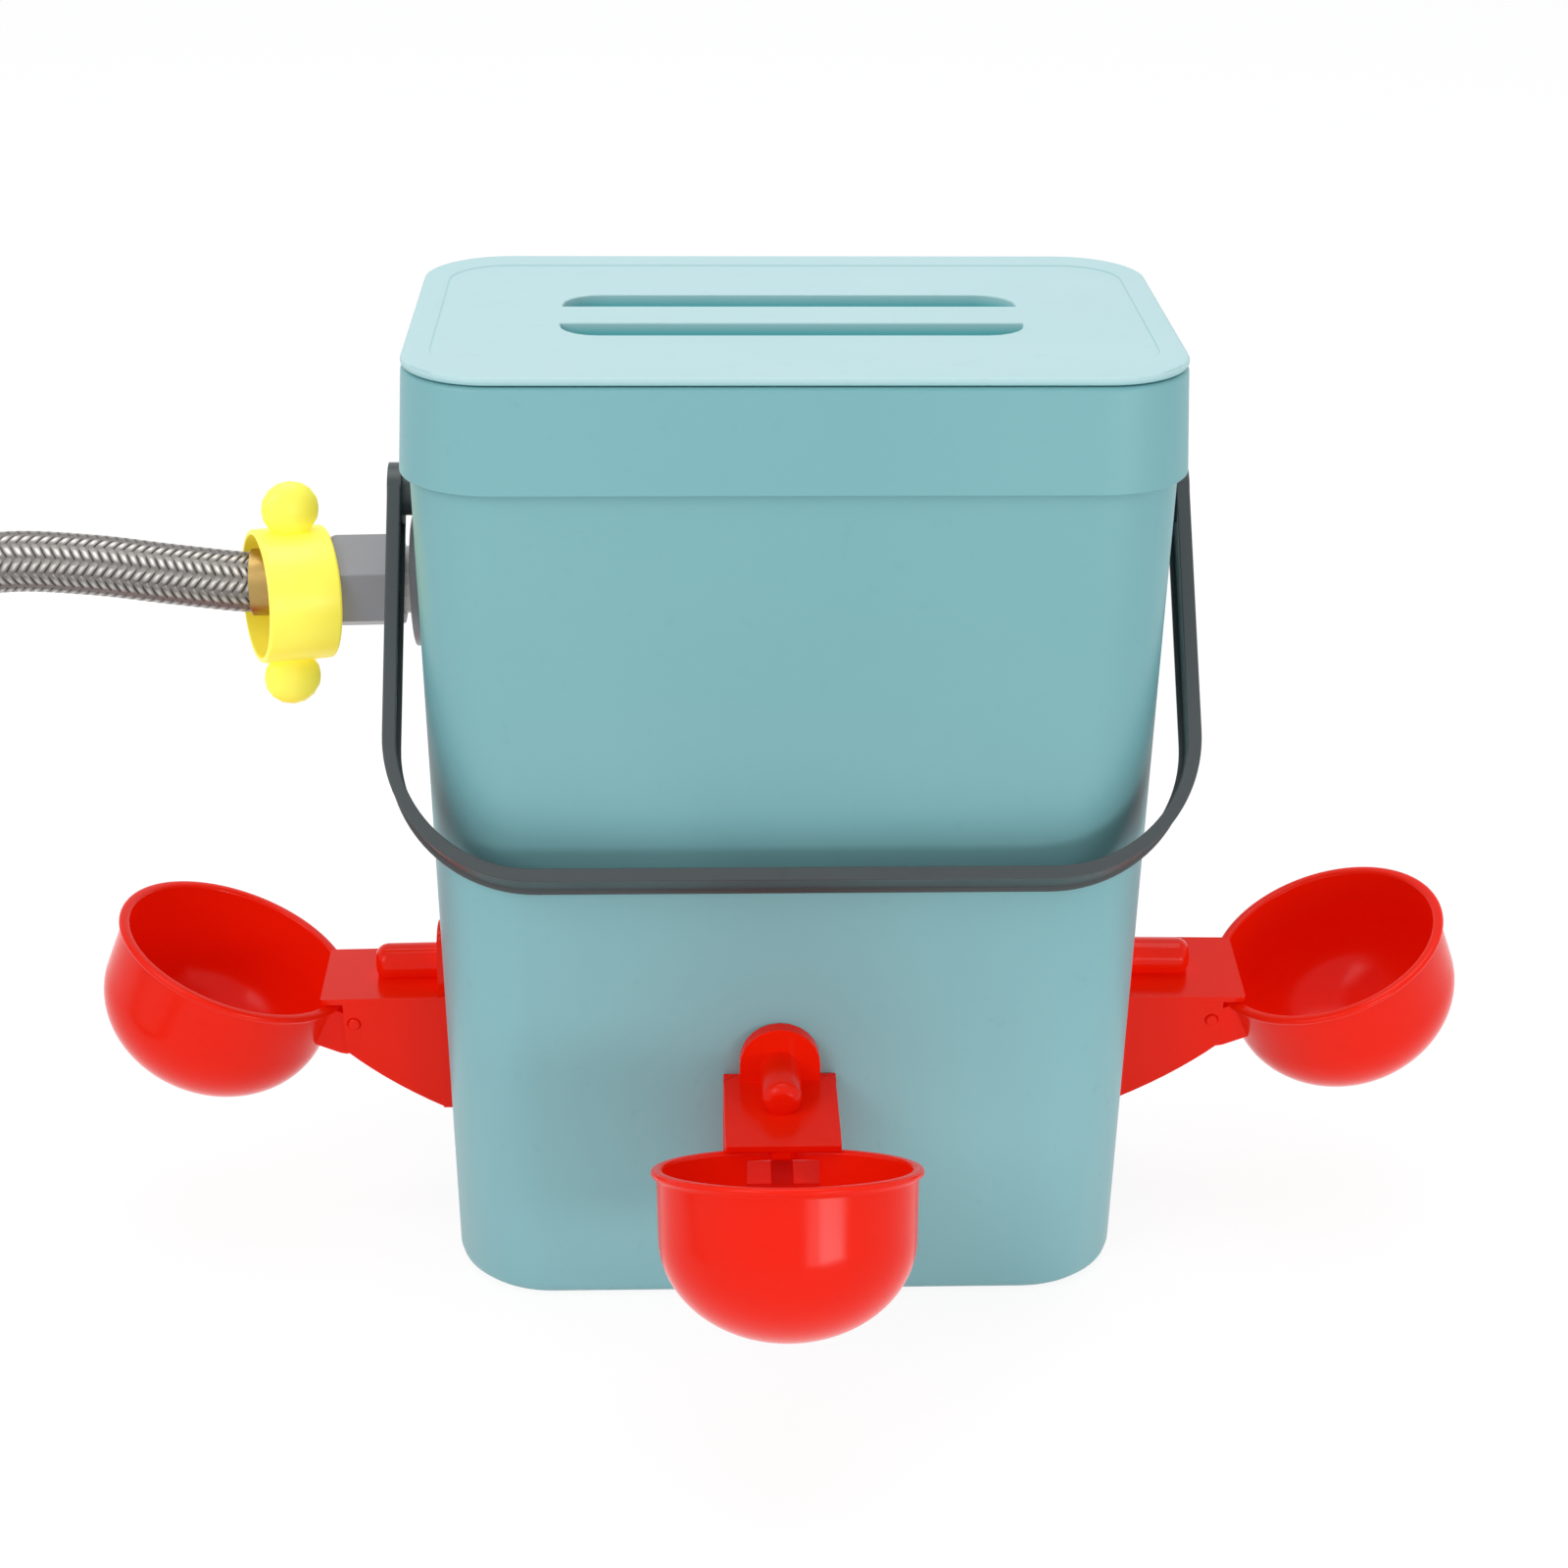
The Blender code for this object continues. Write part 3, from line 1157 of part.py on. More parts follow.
def build_inlet(grey, rubber, steel, brass, yellow, white, braid):
    wall, matrix = wall_frame("inlet_frame", "left", INLET_HEIGHT, INLET_OFFSET)
    place("float_valve_body", valve_body_mesh(), white, wall)
    gasket = tube(SHANK_RADIUS + GAP, INLET_GASKET_RADIUS, GAP, GASKET_END, "inlet_gasket", LARGE_STEPS)
    place("inlet_gasket", turn_to(gasket, ALONG_X), rubber, wall)
    inner = tube(SHANK_RADIUS + GAP, VALVE_FLANGE_RADIUS, VALVE_FLANGE_TOP + GAP, -WALL - GAP, "inner_gasket")
    place("inlet_inner_gasket", turn_to(inner, ALONG_X), rubber, wall)
    place("inlet_flange_nut", turn_to(flange_nut_mesh(), ALONG_X), grey, wall)
    turn = ALONG_X @ Matrix.Rotation(HOSE_NUT_TURN, 4, "Z")
    place("hose_nut", turn_to(hose_nut_mesh(), turn), grey, wall)
    washer = washer_mesh(HOSE_WASHER_RADIUS, WASHER_START, WASHER_END, "hose_washer")
    place("hose_washer", turn_to(washer, ALONG_X), rubber, wall)
    place("hose_ferrule", turn_to(hose_ferrule_mesh(), ALONG_X), brass, wall)
    cocked = Matrix.Translation((GRIP_SPOT, GRIP_SHIFT, -GRIP_SAG)) @ Matrix.Rotation(GRIP_YAW, 4, "Z")
    cocked = cocked @ Matrix.Rotation(GRIP_PITCH, 4, "Y") @ ALONG_X @ Matrix.Rotation(pi / 2, 4, "Z")
    place("wing_grip", wing_grip_mesh(), yellow, wall, cocked)
    place("float_piston", turn_to(piston_mesh(), ALONG_X), rubber, wall)
    pivot = frame("lever_frame", wall, Matrix.Translation((LEVER_PIN_SPOT, 0.0, -LEVER_PIN_DROP)))
    pin = rod(LEVER_PIN_RADIUS, -FORK_WIDTH / 2 - PIN_PROUD, FORK_WIDTH / 2 + PIN_PROUD, "lever_pin", SMALL_STEPS)
    place("float_lever_pin", turn_to(pin, ALONG_Y), steel, pivot)
    place("float_lever", lever_mesh(), white, pivot)
    down = lever_direction(LEVER_DROOP).to_track_quat("Z", "Y").to_matrix().to_4x4()
    place("float", float_mesh(), white, pivot, down)
    arrival, heading = build_hose(matrix, braid)
    far = frame("far_fitting_frame", None, far_fitting_frame(arrival, heading))
    turn = ALONG_X @ Matrix.Rotation(pi / 2, 4, "Z")
    place("far_nut", turn_to(hose_nut_mesh(), turn), grey, far)
    place("far_ferrule", turn_to(hose_ferrule_mesh(), turn), brass, far)
    washer = washer_mesh(HOSE_WASHER_RADIUS, WASHER_START, WASHER_END, "far_washer")
    place("far_washer", turn_to(washer, ALONG_X), rubber, far)
    return matrix


def build_handle(grey):
    pivot = Matrix.Translation((0.0, 0.0, PIVOT_HEIGHT))
    lean = pivot @ Matrix.Rotation(-handle_rest_angle(), 4, "X")
    bail = place("handle", handle_mesh(), grey, None, lean)
    for name, side in (("handle_cap_left", -1), ("handle_cap_right", 1)):
        cap = turn_to(handle_cap_mesh(), Matrix.Rotation(side * pi / 2, 4, "Y"))
        place(name, cap, grey, bail)


def build_pail(blue, port_frames, inlet_matrix):
    body = pail_mesh()
    for matrix in port_frames:
        body = cut(body, wall_cutter(matrix, STEM_RADIUS + RUNNING_GAP, "stem_hole"))
    body = cut(body, wall_cutter(inlet_matrix, SHANK_RADIUS + RUNNING_GAP, "inlet_hole"))
    across = rod(STUB_RADIUS + RUNNING_GAP, -LID_WIDTH, LID_WIDTH, "stub_holes")
    body = cut(body, turn_to(across, Matrix.Translation((0.0, 0.0, PIVOT_HEIGHT)) @ ALONG_X))
    place("bucket_body", body, blue)


def build():
    for old in list(bpy.data.objects):
        bpy.data.objects.remove(old)
    blue = material("pail_blue", (0.22, 0.47, 0.50), 0.42)
    pale_blue = material("lid_blue", (0.50, 0.76, 0.78), 0.45)
    red = material("drinker_red", (0.80, 0.020, 0.004), 0.33)
    yellow = material("wing_yellow", (0.95, 0.88, 0.09), 0.40)
    dark_grey = material("handle_grey", (0.055, 0.068, 0.073), 0.45)
    rubber = material("black_rubber", (0.02, 0.02, 0.02), 0.75)
    grey = material("nut_grey", (0.27, 0.27, 0.29), 0.40)
    white = material("valve_white", (0.75, 0.75, 0.73), 0.45)
    steel = material("spring_steel", (0.55, 0.55, 0.54), 0.28, 1.0)
    brass = material("ferrule_brass", (0.42, 0.31, 0.16), 0.35, 1.0)
    braid = material("hose_braid", (0.46, 0.43, 0.40), 0.38, 0.9)
    spots = {
        "left": (SIDE_PORT_HEIGHT, 0.0, LEFT_PORT_ROLL),
        "front": (SIDE_PORT_HEIGHT - FRONT_PORT_DROP, FRONT_PORT_OFFSET, 0.0),
        "right": (SIDE_PORT_HEIGHT, 0.0, RIGHT_PORT_ROLL),
    }
    ports = [build_drinker(side, spot, red, (steel, grey), rubber) for side, spot in spots.items()]
    inlet = build_inlet(grey, rubber, steel, brass, yellow, white, braid)
    build_pail(blue, ports, inlet)
    place("rim_collar", collar_mesh(), blue)
    place("lid", lid_mesh(), pale_blue)
    build_handle(dark_grey)
    bpy.context.view_layer.update()


build()
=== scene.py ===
"""Looks of the poultry drinker: finer visible forms, procedural finishes, studio and camera."""

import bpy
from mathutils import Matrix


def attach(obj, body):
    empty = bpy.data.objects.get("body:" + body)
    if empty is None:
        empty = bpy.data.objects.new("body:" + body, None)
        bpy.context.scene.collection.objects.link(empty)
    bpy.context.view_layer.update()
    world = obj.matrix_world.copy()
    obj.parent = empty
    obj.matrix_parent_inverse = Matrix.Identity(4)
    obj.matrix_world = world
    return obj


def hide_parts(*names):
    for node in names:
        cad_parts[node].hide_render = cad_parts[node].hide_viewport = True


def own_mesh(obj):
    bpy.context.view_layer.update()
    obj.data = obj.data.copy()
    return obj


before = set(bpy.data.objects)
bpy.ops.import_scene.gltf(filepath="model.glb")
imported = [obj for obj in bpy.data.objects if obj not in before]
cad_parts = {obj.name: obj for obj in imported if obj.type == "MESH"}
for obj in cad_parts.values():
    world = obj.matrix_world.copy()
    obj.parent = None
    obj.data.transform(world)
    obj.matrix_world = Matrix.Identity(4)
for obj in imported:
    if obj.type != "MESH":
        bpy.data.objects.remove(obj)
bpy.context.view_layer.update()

import bmesh
import bpy
from math import asin, atan2, cos, hypot, pi, radians, sin
from mathutils import Matrix, Vector

# Clearances
GAP = 0.0003
RUNNING_GAP = 0.0004
SLIP_GAP = 0.0005

# Pail
LID_WIDTH = 0.2000
LID_DEPTH = 0.1246
LID_CORNER_RADIUS = 0.0233
TOTAL_HEIGHT = 0.2711
SHOULDER_INSET = 0.0011
WALL_TAPER = 0.0042
BASE_CORNER_RADIUS = 0.0280
BASE_EDGE_RADIUS = 0.0040
WALL = 0.0020
FLOOR = 0.0026
NECK_INSET = 0.0021

# Rim collar
COLLAR_HEIGHT = 0.0276
COLLAR_FLARE = 0.00145
COLLAR_WALL = 0.0018
COLLAR_FLANGE = 0.0020
COLLAR_LIP_DEPTH = 0.0080
COLLAR_LIP_WALL = 0.0016
COLLAR_EDGE_RADIUS = 0.0008
SHOULDER_COVER = 0.0020

# Lid
LID_PLATE = 0.0022
LID_PANEL_STEP = 0.0003
LID_BORDER_SIDE = 0.0070
LID_BORDER_FRONT = 0.0110
LID_SKIRT_DEPTH = 0.0066
LID_SKIRT_WALL = 0.0015
LID_EDGE_RADIUS = 0.0006
LID_LINE_WIDTH = 0.0004
SLOT_LENGTH = 0.1218
SLOT_WIDTH = 0.0127
SLOT_CORNER_RADIUS = 0.0105
SLOT_DEPTH = 0.0105
SLOT_DRAFT = 0.0010
SLOT_WALL = 0.0017
GRIP_WIDTH = 0.0162
GRIP_OFFSET = -0.0008

# Carrying handle
PIVOT_DROP = 0.0200
HANDLE_REACH = 0.1100
HANDLE_CLEARANCE = 0.0032
HANDLE_THICKNESS = 0.0036
HANDLE_DEPTH = 0.0166
HANDLE_WEB = 0.0016
HANDLE_LIP = 0.0012
HANDLE_GROOVE = 0.0009
HANDLE_CORNER_RADIUS = 0.0400
HUB_PROUD = 0.00006
HUB_BOSS_RADIUS = 0.0060
STUB_RADIUS = 0.0040
STUB_PAST_WALL = 0.0036

# Drinker ports in the pail wall
SIDE_PORT_HEIGHT = 0.0783
FRONT_PORT_DROP = 0.0014
FRONT_PORT_OFFSET = -0.0032
LEFT_PORT_ROLL = radians(-1.0)
RIGHT_PORT_ROLL = radians(7.5)

# Drinker bracket
STEM_RADIUS = 0.0050
STEM_PAST_WALL = 0.0140
STEM_BORE_RADIUS = 0.0026
TUBE_RADIUS = 0.0054
TUBE_LENGTH = 0.0227
TUBE_END_RADIUS = 0.0035
FLANGE_THICKNESS = 0.0040
FLANGE_ARCH_RADIUS = 0.0110
FLANGE_ARCH_RISE = 0.0011
BRACKET_WIDTH = 0.0307
BRACKET_WALL = 0.0020
FLANGE_OVERHANG = 0.0001
CHEEK_INSET = 0.0002
PLATE_DROP = 0.0038
PLATE_THICKNESS = 0.0018
PLATE_REACH = 0.0378
PLATE_CORNER_RADIUS = 0.0010
CHEEK_REACH = 0.0315
CHEEK_FRONT_HEIGHT = 0.0171
CHEEK_BACK_HEIGHT = 0.0368
CHEEK_BELLY_REACH = 0.0199
CHEEK_BELLY_HEIGHT = 0.0281
SPOUT_WIDTH = 0.0066
SPOUT_HEIGHT = 0.0024
SPOUT_LENGTH = 0.0022

# Drinker cup
PIN_REACH = 0.0286
PIN_DROP = 0.0120
PIN_RADIUS = 0.00175
CUP_TILT = radians(24.0)
CUP_REACH = 0.0382
RIM_RISE = 0.0023
RIM_RADIUS = 0.0349
RIM_LIP = 0.0015
RIM_HEIGHT = 0.0022
CUP_WALL = 0.0017
CUP_STRAIGHT = 0.0175
CUP_DEPTH = 0.0442
CUP_TAPER = 0.0004
NECK_EYE_RADIUS = 0.0046
NECK_FOOT = 0.0120
NECK_WALL = 0.0030
NECK_SILL = 0.0035
FINGER_RADIUS = 0.0015
FINGER_WIDTH = 0.0060
FINGER_DROP = 0.0060

# Drinker valve
VALVE_REACH = 0.0188
VALVE_ROD_RADIUS = 0.0012
VALVE_PAD_THICKNESS = 0.0012
SPRING_WIRE_RADIUS = 0.0003
SPRING_RADIUS = 0.0040
SPRING_TURNS = 4
SPRING_POINTS_PER_TURN = 8
SPRING_ROUNDNESS = 1

# Inlet
INLET_DROP = 0.0276
INLET_OFFSET = 0.0080
SHANK_RADIUS = 0.0093
INLET_GASKET_THICKNESS = 0.0023
FLANGE_NUT_RADIUS = 0.0185
FLANGE_NUT_FLANGE = 0.0022
FLANGE_NUT_FLATS = 0.0240
FLANGE_NUT_LENGTH = 0.0050

# Feed hose
HOSE_NUT_FLATS = 0.0240
HOSE_NUT_TURN = radians(-5.0)
HOSE_NUT_LENGTH = 0.0200
HOSE_NUT_END_WALL = 0.0028
TAIL_FLANGE_RADIUS = 0.0090
TAIL_FLANGE_THICKNESS = 0.0016
TAIL_NECK_RADIUS = 0.0062
TAIL_BORE_RADIUS = 0.0040
FERRULE_WALL = 0.0004
FERRULE_LENGTH = 0.0215
FERRULE_END_WALL = 0.0040
HOSE_RADIUS = 0.0086
HOSE_ROUTE = [
    (-0.1700, 0.0079, 0.1950),
    (-0.1920, 0.0076, 0.1979),
    (-0.2160, 0.0070, 0.1990),
    (-0.2410, 0.0062, 0.1945),
    (-0.2645, 0.0050, 0.1820),
    (-0.2835, 0.0025, 0.1620),
    (-0.2950, -0.0020, 0.1355),
    (-0.3005, -0.0090, 0.1070),
    (-0.3030, -0.0200, 0.0790),
    (-0.3050, -0.0370, 0.0530),
    (-0.3070, -0.0610, 0.0310),
    (-0.3090, -0.0900, 0.0168),
    (-0.3120, -0.1220, 0.0117),
    (-0.3155, -0.1560, 0.0122),
]
HOSE_END = (-0.3190, -0.1960, 0.0124)

# Wing grip round the hose's ferrule
GRIP_RADIUS = 0.0185
GRIP_WALL = 0.0015
GRIP_LENGTH = 0.0200
GRIP_SPOT = 0.0393
GRIP_SHIFT = 0.0031
GRIP_SAG = 0.0025
GRIP_PITCH = radians(-3.5)
GRIP_YAW = radians(20.0)
EAR_RADIUS = 0.0080
EAR_THICKNESS = 0.0100
EAR_SPREAD = 0.0245

# Roundness of curved forms
CORNER_STEPS = 18
BOWL_STEPS = 20
BEND_STEPS = 28
SMALL_STEPS = 36
ROUND_STEPS = 64
LARGE_STEPS = 72
CUP_STEPS = 112
EDGE_STEPS = 4
FOOT_STEPS = 3
SLOT_STEPS = 5
ARCH_STEPS = 12
CHEEK_STEPS = 7
EYE_STEPS = 6
MOUTH_STEPS = 3
ROUTE_STEPS = 24
EAR_STEPS = 16
LEAN_ROUNDS = 12
SAME_SPOT = 1e-6

# Sizes worked out from the ones above
DEPTH_CUT = (LID_WIDTH - LID_DEPTH) / 2
CORNER_CENTRE = LID_WIDTH / 2 - LID_CORNER_RADIUS
COLLAR_TOP = TOTAL_HEIGHT - LID_PLATE - GAP
COLLAR_BOTTOM = COLLAR_TOP - COLLAR_HEIGHT
PAIL_TOP = COLLAR_TOP - COLLAR_FLANGE - GAP
SHOULDER_HEIGHT = COLLAR_BOTTOM + SHOULDER_COVER
SHOULDER_HALF = LID_WIDTH / 2 - SHOULDER_INSET
BASE_HALF = SHOULDER_HALF - WALL_TAPER
DRAFT = WALL_TAPER / SHOULDER_HEIGHT
PIVOT_HEIGHT = COLLAR_BOTTOM - PIVOT_DROP
INLET_HEIGHT = PIVOT_HEIGHT - INLET_DROP


def wall_at(height):
    """Half the pail's outer width at a height, below the shoulder."""
    return BASE_HALF + DRAFT * height


def as_mesh(bm, name):
    """A mesh from a bmesh, faces out."""
    bmesh.ops.recalc_face_normals(bm, faces=bm.faces)
    mesh = bpy.data.meshes.new(name)
    bm.to_mesh(mesh)
    bm.free()
    return mesh


def place(name, data):
    """An object in the scene."""
    made = bpy.data.objects.new(name, data)
    bpy.context.scene.collection.objects.link(made)
    return made


def result_of(made):
    """An object's mesh with its modifiers worked out."""
    bpy.context.view_layer.update()
    graph = bpy.context.evaluated_depsgraph_get()
    return bpy.data.meshes.new_from_object(made.evaluated_get(graph))


def loft(rings, name, closed=False):
    """A solid skin through rings of equal count, capped at both ends unless it closes on itself."""
    bm = bmesh.new()
    loops = [[bm.verts.new(point) for point in ring] for ring in rings]
    pairs = list(zip(loops, loops[1:]))
    if closed:
        pairs.append((loops[-1], loops[0]))
    count = len(loops[0])
    for low, high in pairs:
        for i in range(count):
            j = (i + 1) % count
            bm.faces.new((low[i], low[j], high[j], high[i]))
    if not closed:
        bm.faces.new(loops[0][::-1])
        bm.faces.new(loops[-1])
    return as_mesh(bm, name)


def turned(profile, name, steps=ROUND_STEPS):
    """A turned solid about +Z from its profile of (radius, height) points."""
    bm = bmesh.new()
    points = [bm.verts.new((radius, 0.0, height)) for radius, height in profile]
    ends_on_axis = profile[0][0] == 0.0 and profile[-1][0] == 0.0
    edges = [bm.edges.new(pair) for pair in zip(points, points[1:])]
    if not ends_on_axis:
        edges.append(bm.edges.new((points[-1], points[0])))
    about = {"axis": (0, 0, 1), "cent": (0, 0, 0), "angle": 2 * pi}
    bmesh.ops.spin(bm, geom=points + edges, steps=steps, use_duplicate=False, **about)
    bmesh.ops.remove_doubles(bm, verts=bm.verts, dist=SAME_SPOT)
    return as_mesh(bm, name)


def extruded(outline, low, high, name):
    """A prism on an outline of (x, y) points, from one height to another."""
    bm = bmesh.new()
    face = bm.faces.new([bm.verts.new((x, y, low)) for x, y in outline])
    grown = bmesh.ops.extrude_face_region(bm, geom=[face])
    moved = [item for item in grown["geom"] if isinstance(item, bmesh.types.BMVert)]
    bmesh.ops.translate(bm, verts=moved, vec=(0, 0, high - low))
    return as_mesh(bm, name)


def combine(base, tools, operation):
    """Joins meshes to the first one after another, or cuts them away, and returns the result."""
    for tool in tools:
        first, second = place("first", base), place("second", tool)
        step = first.modifiers.new("combine", "BOOLEAN")
        step.operation = operation
        step.solver = "EXACT"
        step.object = second
        result = result_of(first)
        result.name = base.name
        bpy.data.objects.remove(first)
        bpy.data.objects.remove(second)
        base = result
    return base


def fuse(base, *tools):
    return combine(base, tools, "UNION")


def cut(base, *tools):
    return combine(base, tools, "DIFFERENCE")


def shift(x=0.0, y=0.0, z=0.0):
    return Matrix.Translation((x, y, z))


def turn_to(mesh, matrix):
    """The same mesh, moved inside its own frame."""
    mesh.transform(matrix)
    return mesh


def stepped(*drums):
    """A turned solid's profile through drums of (start, radius, end), from the axis and back to it."""
    points = [(radius, height) for start, radius, end in drums for height in (start, end)]
    return [(0.0, drums[0][0]), *points, (0.0, drums[-1][2])]


def rod(radius, low, high, name, steps=ROUND_STEPS):
    return turned(stepped((low, radius, high)), name, steps)


def arc(centre, radius, start, end, steps):
    """Points on an arc in a plane, both ends included."""
    turns = [start + (end - start) * step / steps for step in range(steps + 1)]
    return [(centre[0] + radius * cos(turn), centre[1] + radius * sin(turn)) for turn in turns]


def bend(start, control, end, steps):
    """Points on a quadratic curve, both ends included."""
    made = []
    for step in range(steps + 1):
        t = step / steps
        weights = ((1 - t) ** 2, 2 * t * (1 - t), t ** 2)
        spots = (start, control, end)
        made.append(tuple(sum(w * spot[axis] for w, spot in zip(weights, spots)) for axis in (0, 1)))
    return made


def rounded_rectangle(half_width, half_depth, radius, height):
    """A ring of points, anticlockwise from above."""
    ring = []
    for corner, (side, end) in enumerate(((1, 1), (-1, 1), (-1, -1), (1, -1))):
        centre = (side * (half_width - radius), end * (half_depth - radius))
        quarter = arc(centre, radius, corner * pi / 2, (corner + 1) * pi / 2, CORNER_STEPS)
        ring += [(x, y, height) for x, y in quarter]
    return ring


def rim_ring(half_width, height):
    """A ring whose corners share the lid's corner centres."""
    return rounded_rectangle(half_width, half_width - DEPTH_CUT, half_width - CORNER_CENTRE, height)


def pail_ring(height, inset):
    """A ring on the pail's drafted wall, or inside it by an inset."""
    half = wall_at(height)
    share = height / SHOULDER_HEIGHT
    top_radius = wall_at(SHOULDER_HEIGHT) - CORNER_CENTRE
    radius = BASE_CORNER_RADIUS + (top_radius - BASE_CORNER_RADIUS) * share
    return rounded_rectangle(half - inset, half - inset - DEPTH_CUT, radius - inset, height)


ALONG_X = Matrix.Rotation(pi / 2, 4, "Y")
ALONG_Y = Matrix.Rotation(-pi / 2, 4, "X")
ON_SIDE = Matrix.Rotation(pi / 2, 4, "X")


def wall_matrix(side, height, across=0.0, roll=0.0):
    """A frame on the wall's outer face. Its +X points out of the wall and its +Z up along it."""
    reach = wall_at(height)
    spot, heading = {
        "front": ((across, -(reach - DEPTH_CUT), height), -pi / 2),
        "left": ((-reach, across, height), pi),
        "right": ((reach, across, height), 0.0),
    }[side]
    upright = shift(*spot) @ Matrix.Rotation(heading, 4, "Z") @ Matrix.Rotation(atan2(DRAFT, 1.0), 4, "Y")
    return upright @ Matrix.Rotation(roll, 4, "X")


def pail_mesh():
    neck = wall_at(SHOULDER_HEIGHT) - NECK_INSET
    inner_neck = neck - WALL
    ledge = SHOULDER_HEIGHT + NECK_INSET / 2
    edge = BASE_EDGE_RADIUS
    turns = [pi / 2 * step / FOOT_STEPS for step in range(FOOT_STEPS + 1)]
    outside = [(edge * (1 - cos(turn)), edge * (1 - sin(turn))) for turn in turns]
    outside.append((SHOULDER_HEIGHT, 0.0))
    neck_section = [(neck, ledge), (neck, PAIL_TOP), (inner_neck, PAIL_TOP), (inner_neck, ledge - WALL / 2)]
    inside = [(SHOULDER_HEIGHT - WALL, WALL), (FLOOR + edge, WALL), (FLOOR, WALL + edge)]
    rings = [pail_ring(*spot) for spot in outside] + [rim_ring(*spot) for spot in neck_section]
    return loft(rings + [pail_ring(*spot) for spot in inside], "pail")


def wall_cutter(matrix, radius, name):
    """A short round cutter through the wall at a port."""
    return turn_to(rod(radius, -3 * WALL, 3 * WALL, name), matrix @ ALONG_X)


def collar_mesh():
    half = LID_WIDTH / 2
    foot = half + COLLAR_FLARE
    inner_lip = wall_at(SHOULDER_HEIGHT) - NECK_INSET - WALL - GAP
    underside = COLLAR_TOP - COLLAR_FLANGE
    edge = COLLAR_EDGE_RADIUS
    section = [
        (foot - COLLAR_WALL, COLLAR_BOTTOM),
        (foot, COLLAR_BOTTOM),
        (half, COLLAR_TOP - edge),
        (half - edge, COLLAR_TOP),
        (inner_lip - COLLAR_LIP_WALL, COLLAR_TOP),
        (inner_lip - COLLAR_LIP_WALL, underside - COLLAR_LIP_DEPTH),
        (inner_lip, underside - COLLAR_LIP_DEPTH),
        (inner_lip, underside),
        (half - COLLAR_WALL, underside),
    ]
    return loft([rim_ring(width, height) for width, height in section], "collar", closed=True)


def slot_ring(side, grow, height):
    """A slot's outline: straight along the grip bar, rounded at its two far corners."""
    half = SLOT_LENGTH / 2 + grow
    near = GRIP_WIDTH / 2 - grow
    far = GRIP_WIDTH / 2 + SLOT_WIDTH + grow
    radius = SLOT_CORNER_RADIUS + grow
    outline = [(-half, near), (half, near)]
    outline += arc((half - radius, far - radius), radius, 0.0, pi / 2, SLOT_STEPS)
    outline += arc((radius - half, far - radius), radius, pi / 2, pi, SLOT_STEPS)
    return [(x, side * y + GRIP_OFFSET, height) for x, y in outline]


def panel_ring(inset, height):
    """The lowered panel's outline on the lid, or a ring inside it."""
    half_width = LID_WIDTH / 2 - LID_BORDER_SIDE - inset
    half_depth = LID_DEPTH / 2 - LID_BORDER_FRONT - inset
    radius = LID_CORNER_RADIUS - LID_BORDER_SIDE - inset
    return rounded_rectangle(half_width, half_depth, radius, height)


def lid_mesh():
    half = LID_WIDTH / 2
    top = TOTAL_HEIGHT
    under = top - LID_PLATE
    lip = wall_at(SHOULDER_HEIGHT) - NECK_INSET - WALL - GAP - COLLAR_LIP_WALL
    skirt = lip - SLIP_GAP
    edge = LID_EDGE_RADIUS
    section = [
        (skirt - LID_SKIRT_WALL, under),
        (skirt - LID_SKIRT_WALL, under - LID_SKIRT_DEPTH),
        (skirt, under - LID_SKIRT_DEPTH),
        (skirt, under),
        (half - edge, under),
        (half, under + edge),
        (half, top - edge),
        (half - edge, top),
    ]
    rings = [rim_ring(width, height) for width, height in section]
    rings.append(panel_ring(0.0, top))
    rings.append(panel_ring(LID_LINE_WIDTH, top - LID_PANEL_STEP))
    lid = loft(rings, "lid")
    face = top - LID_PANEL_STEP
    floor = face - SLOT_DEPTH
    for join, grow, high, low in (
        (fuse, SLOT_WALL, under + LID_PLATE / 3, floor - SLOT_WALL),
        (cut, 0.0, face + LID_PLATE, floor),
    ):
        for side in (-1, 1):
            mouth, foot = slot_ring(side, grow, high), slot_ring(side, grow - SLOT_DRAFT, low)
            lid = join(lid, loft([mouth, foot], "slot"))
    return lid


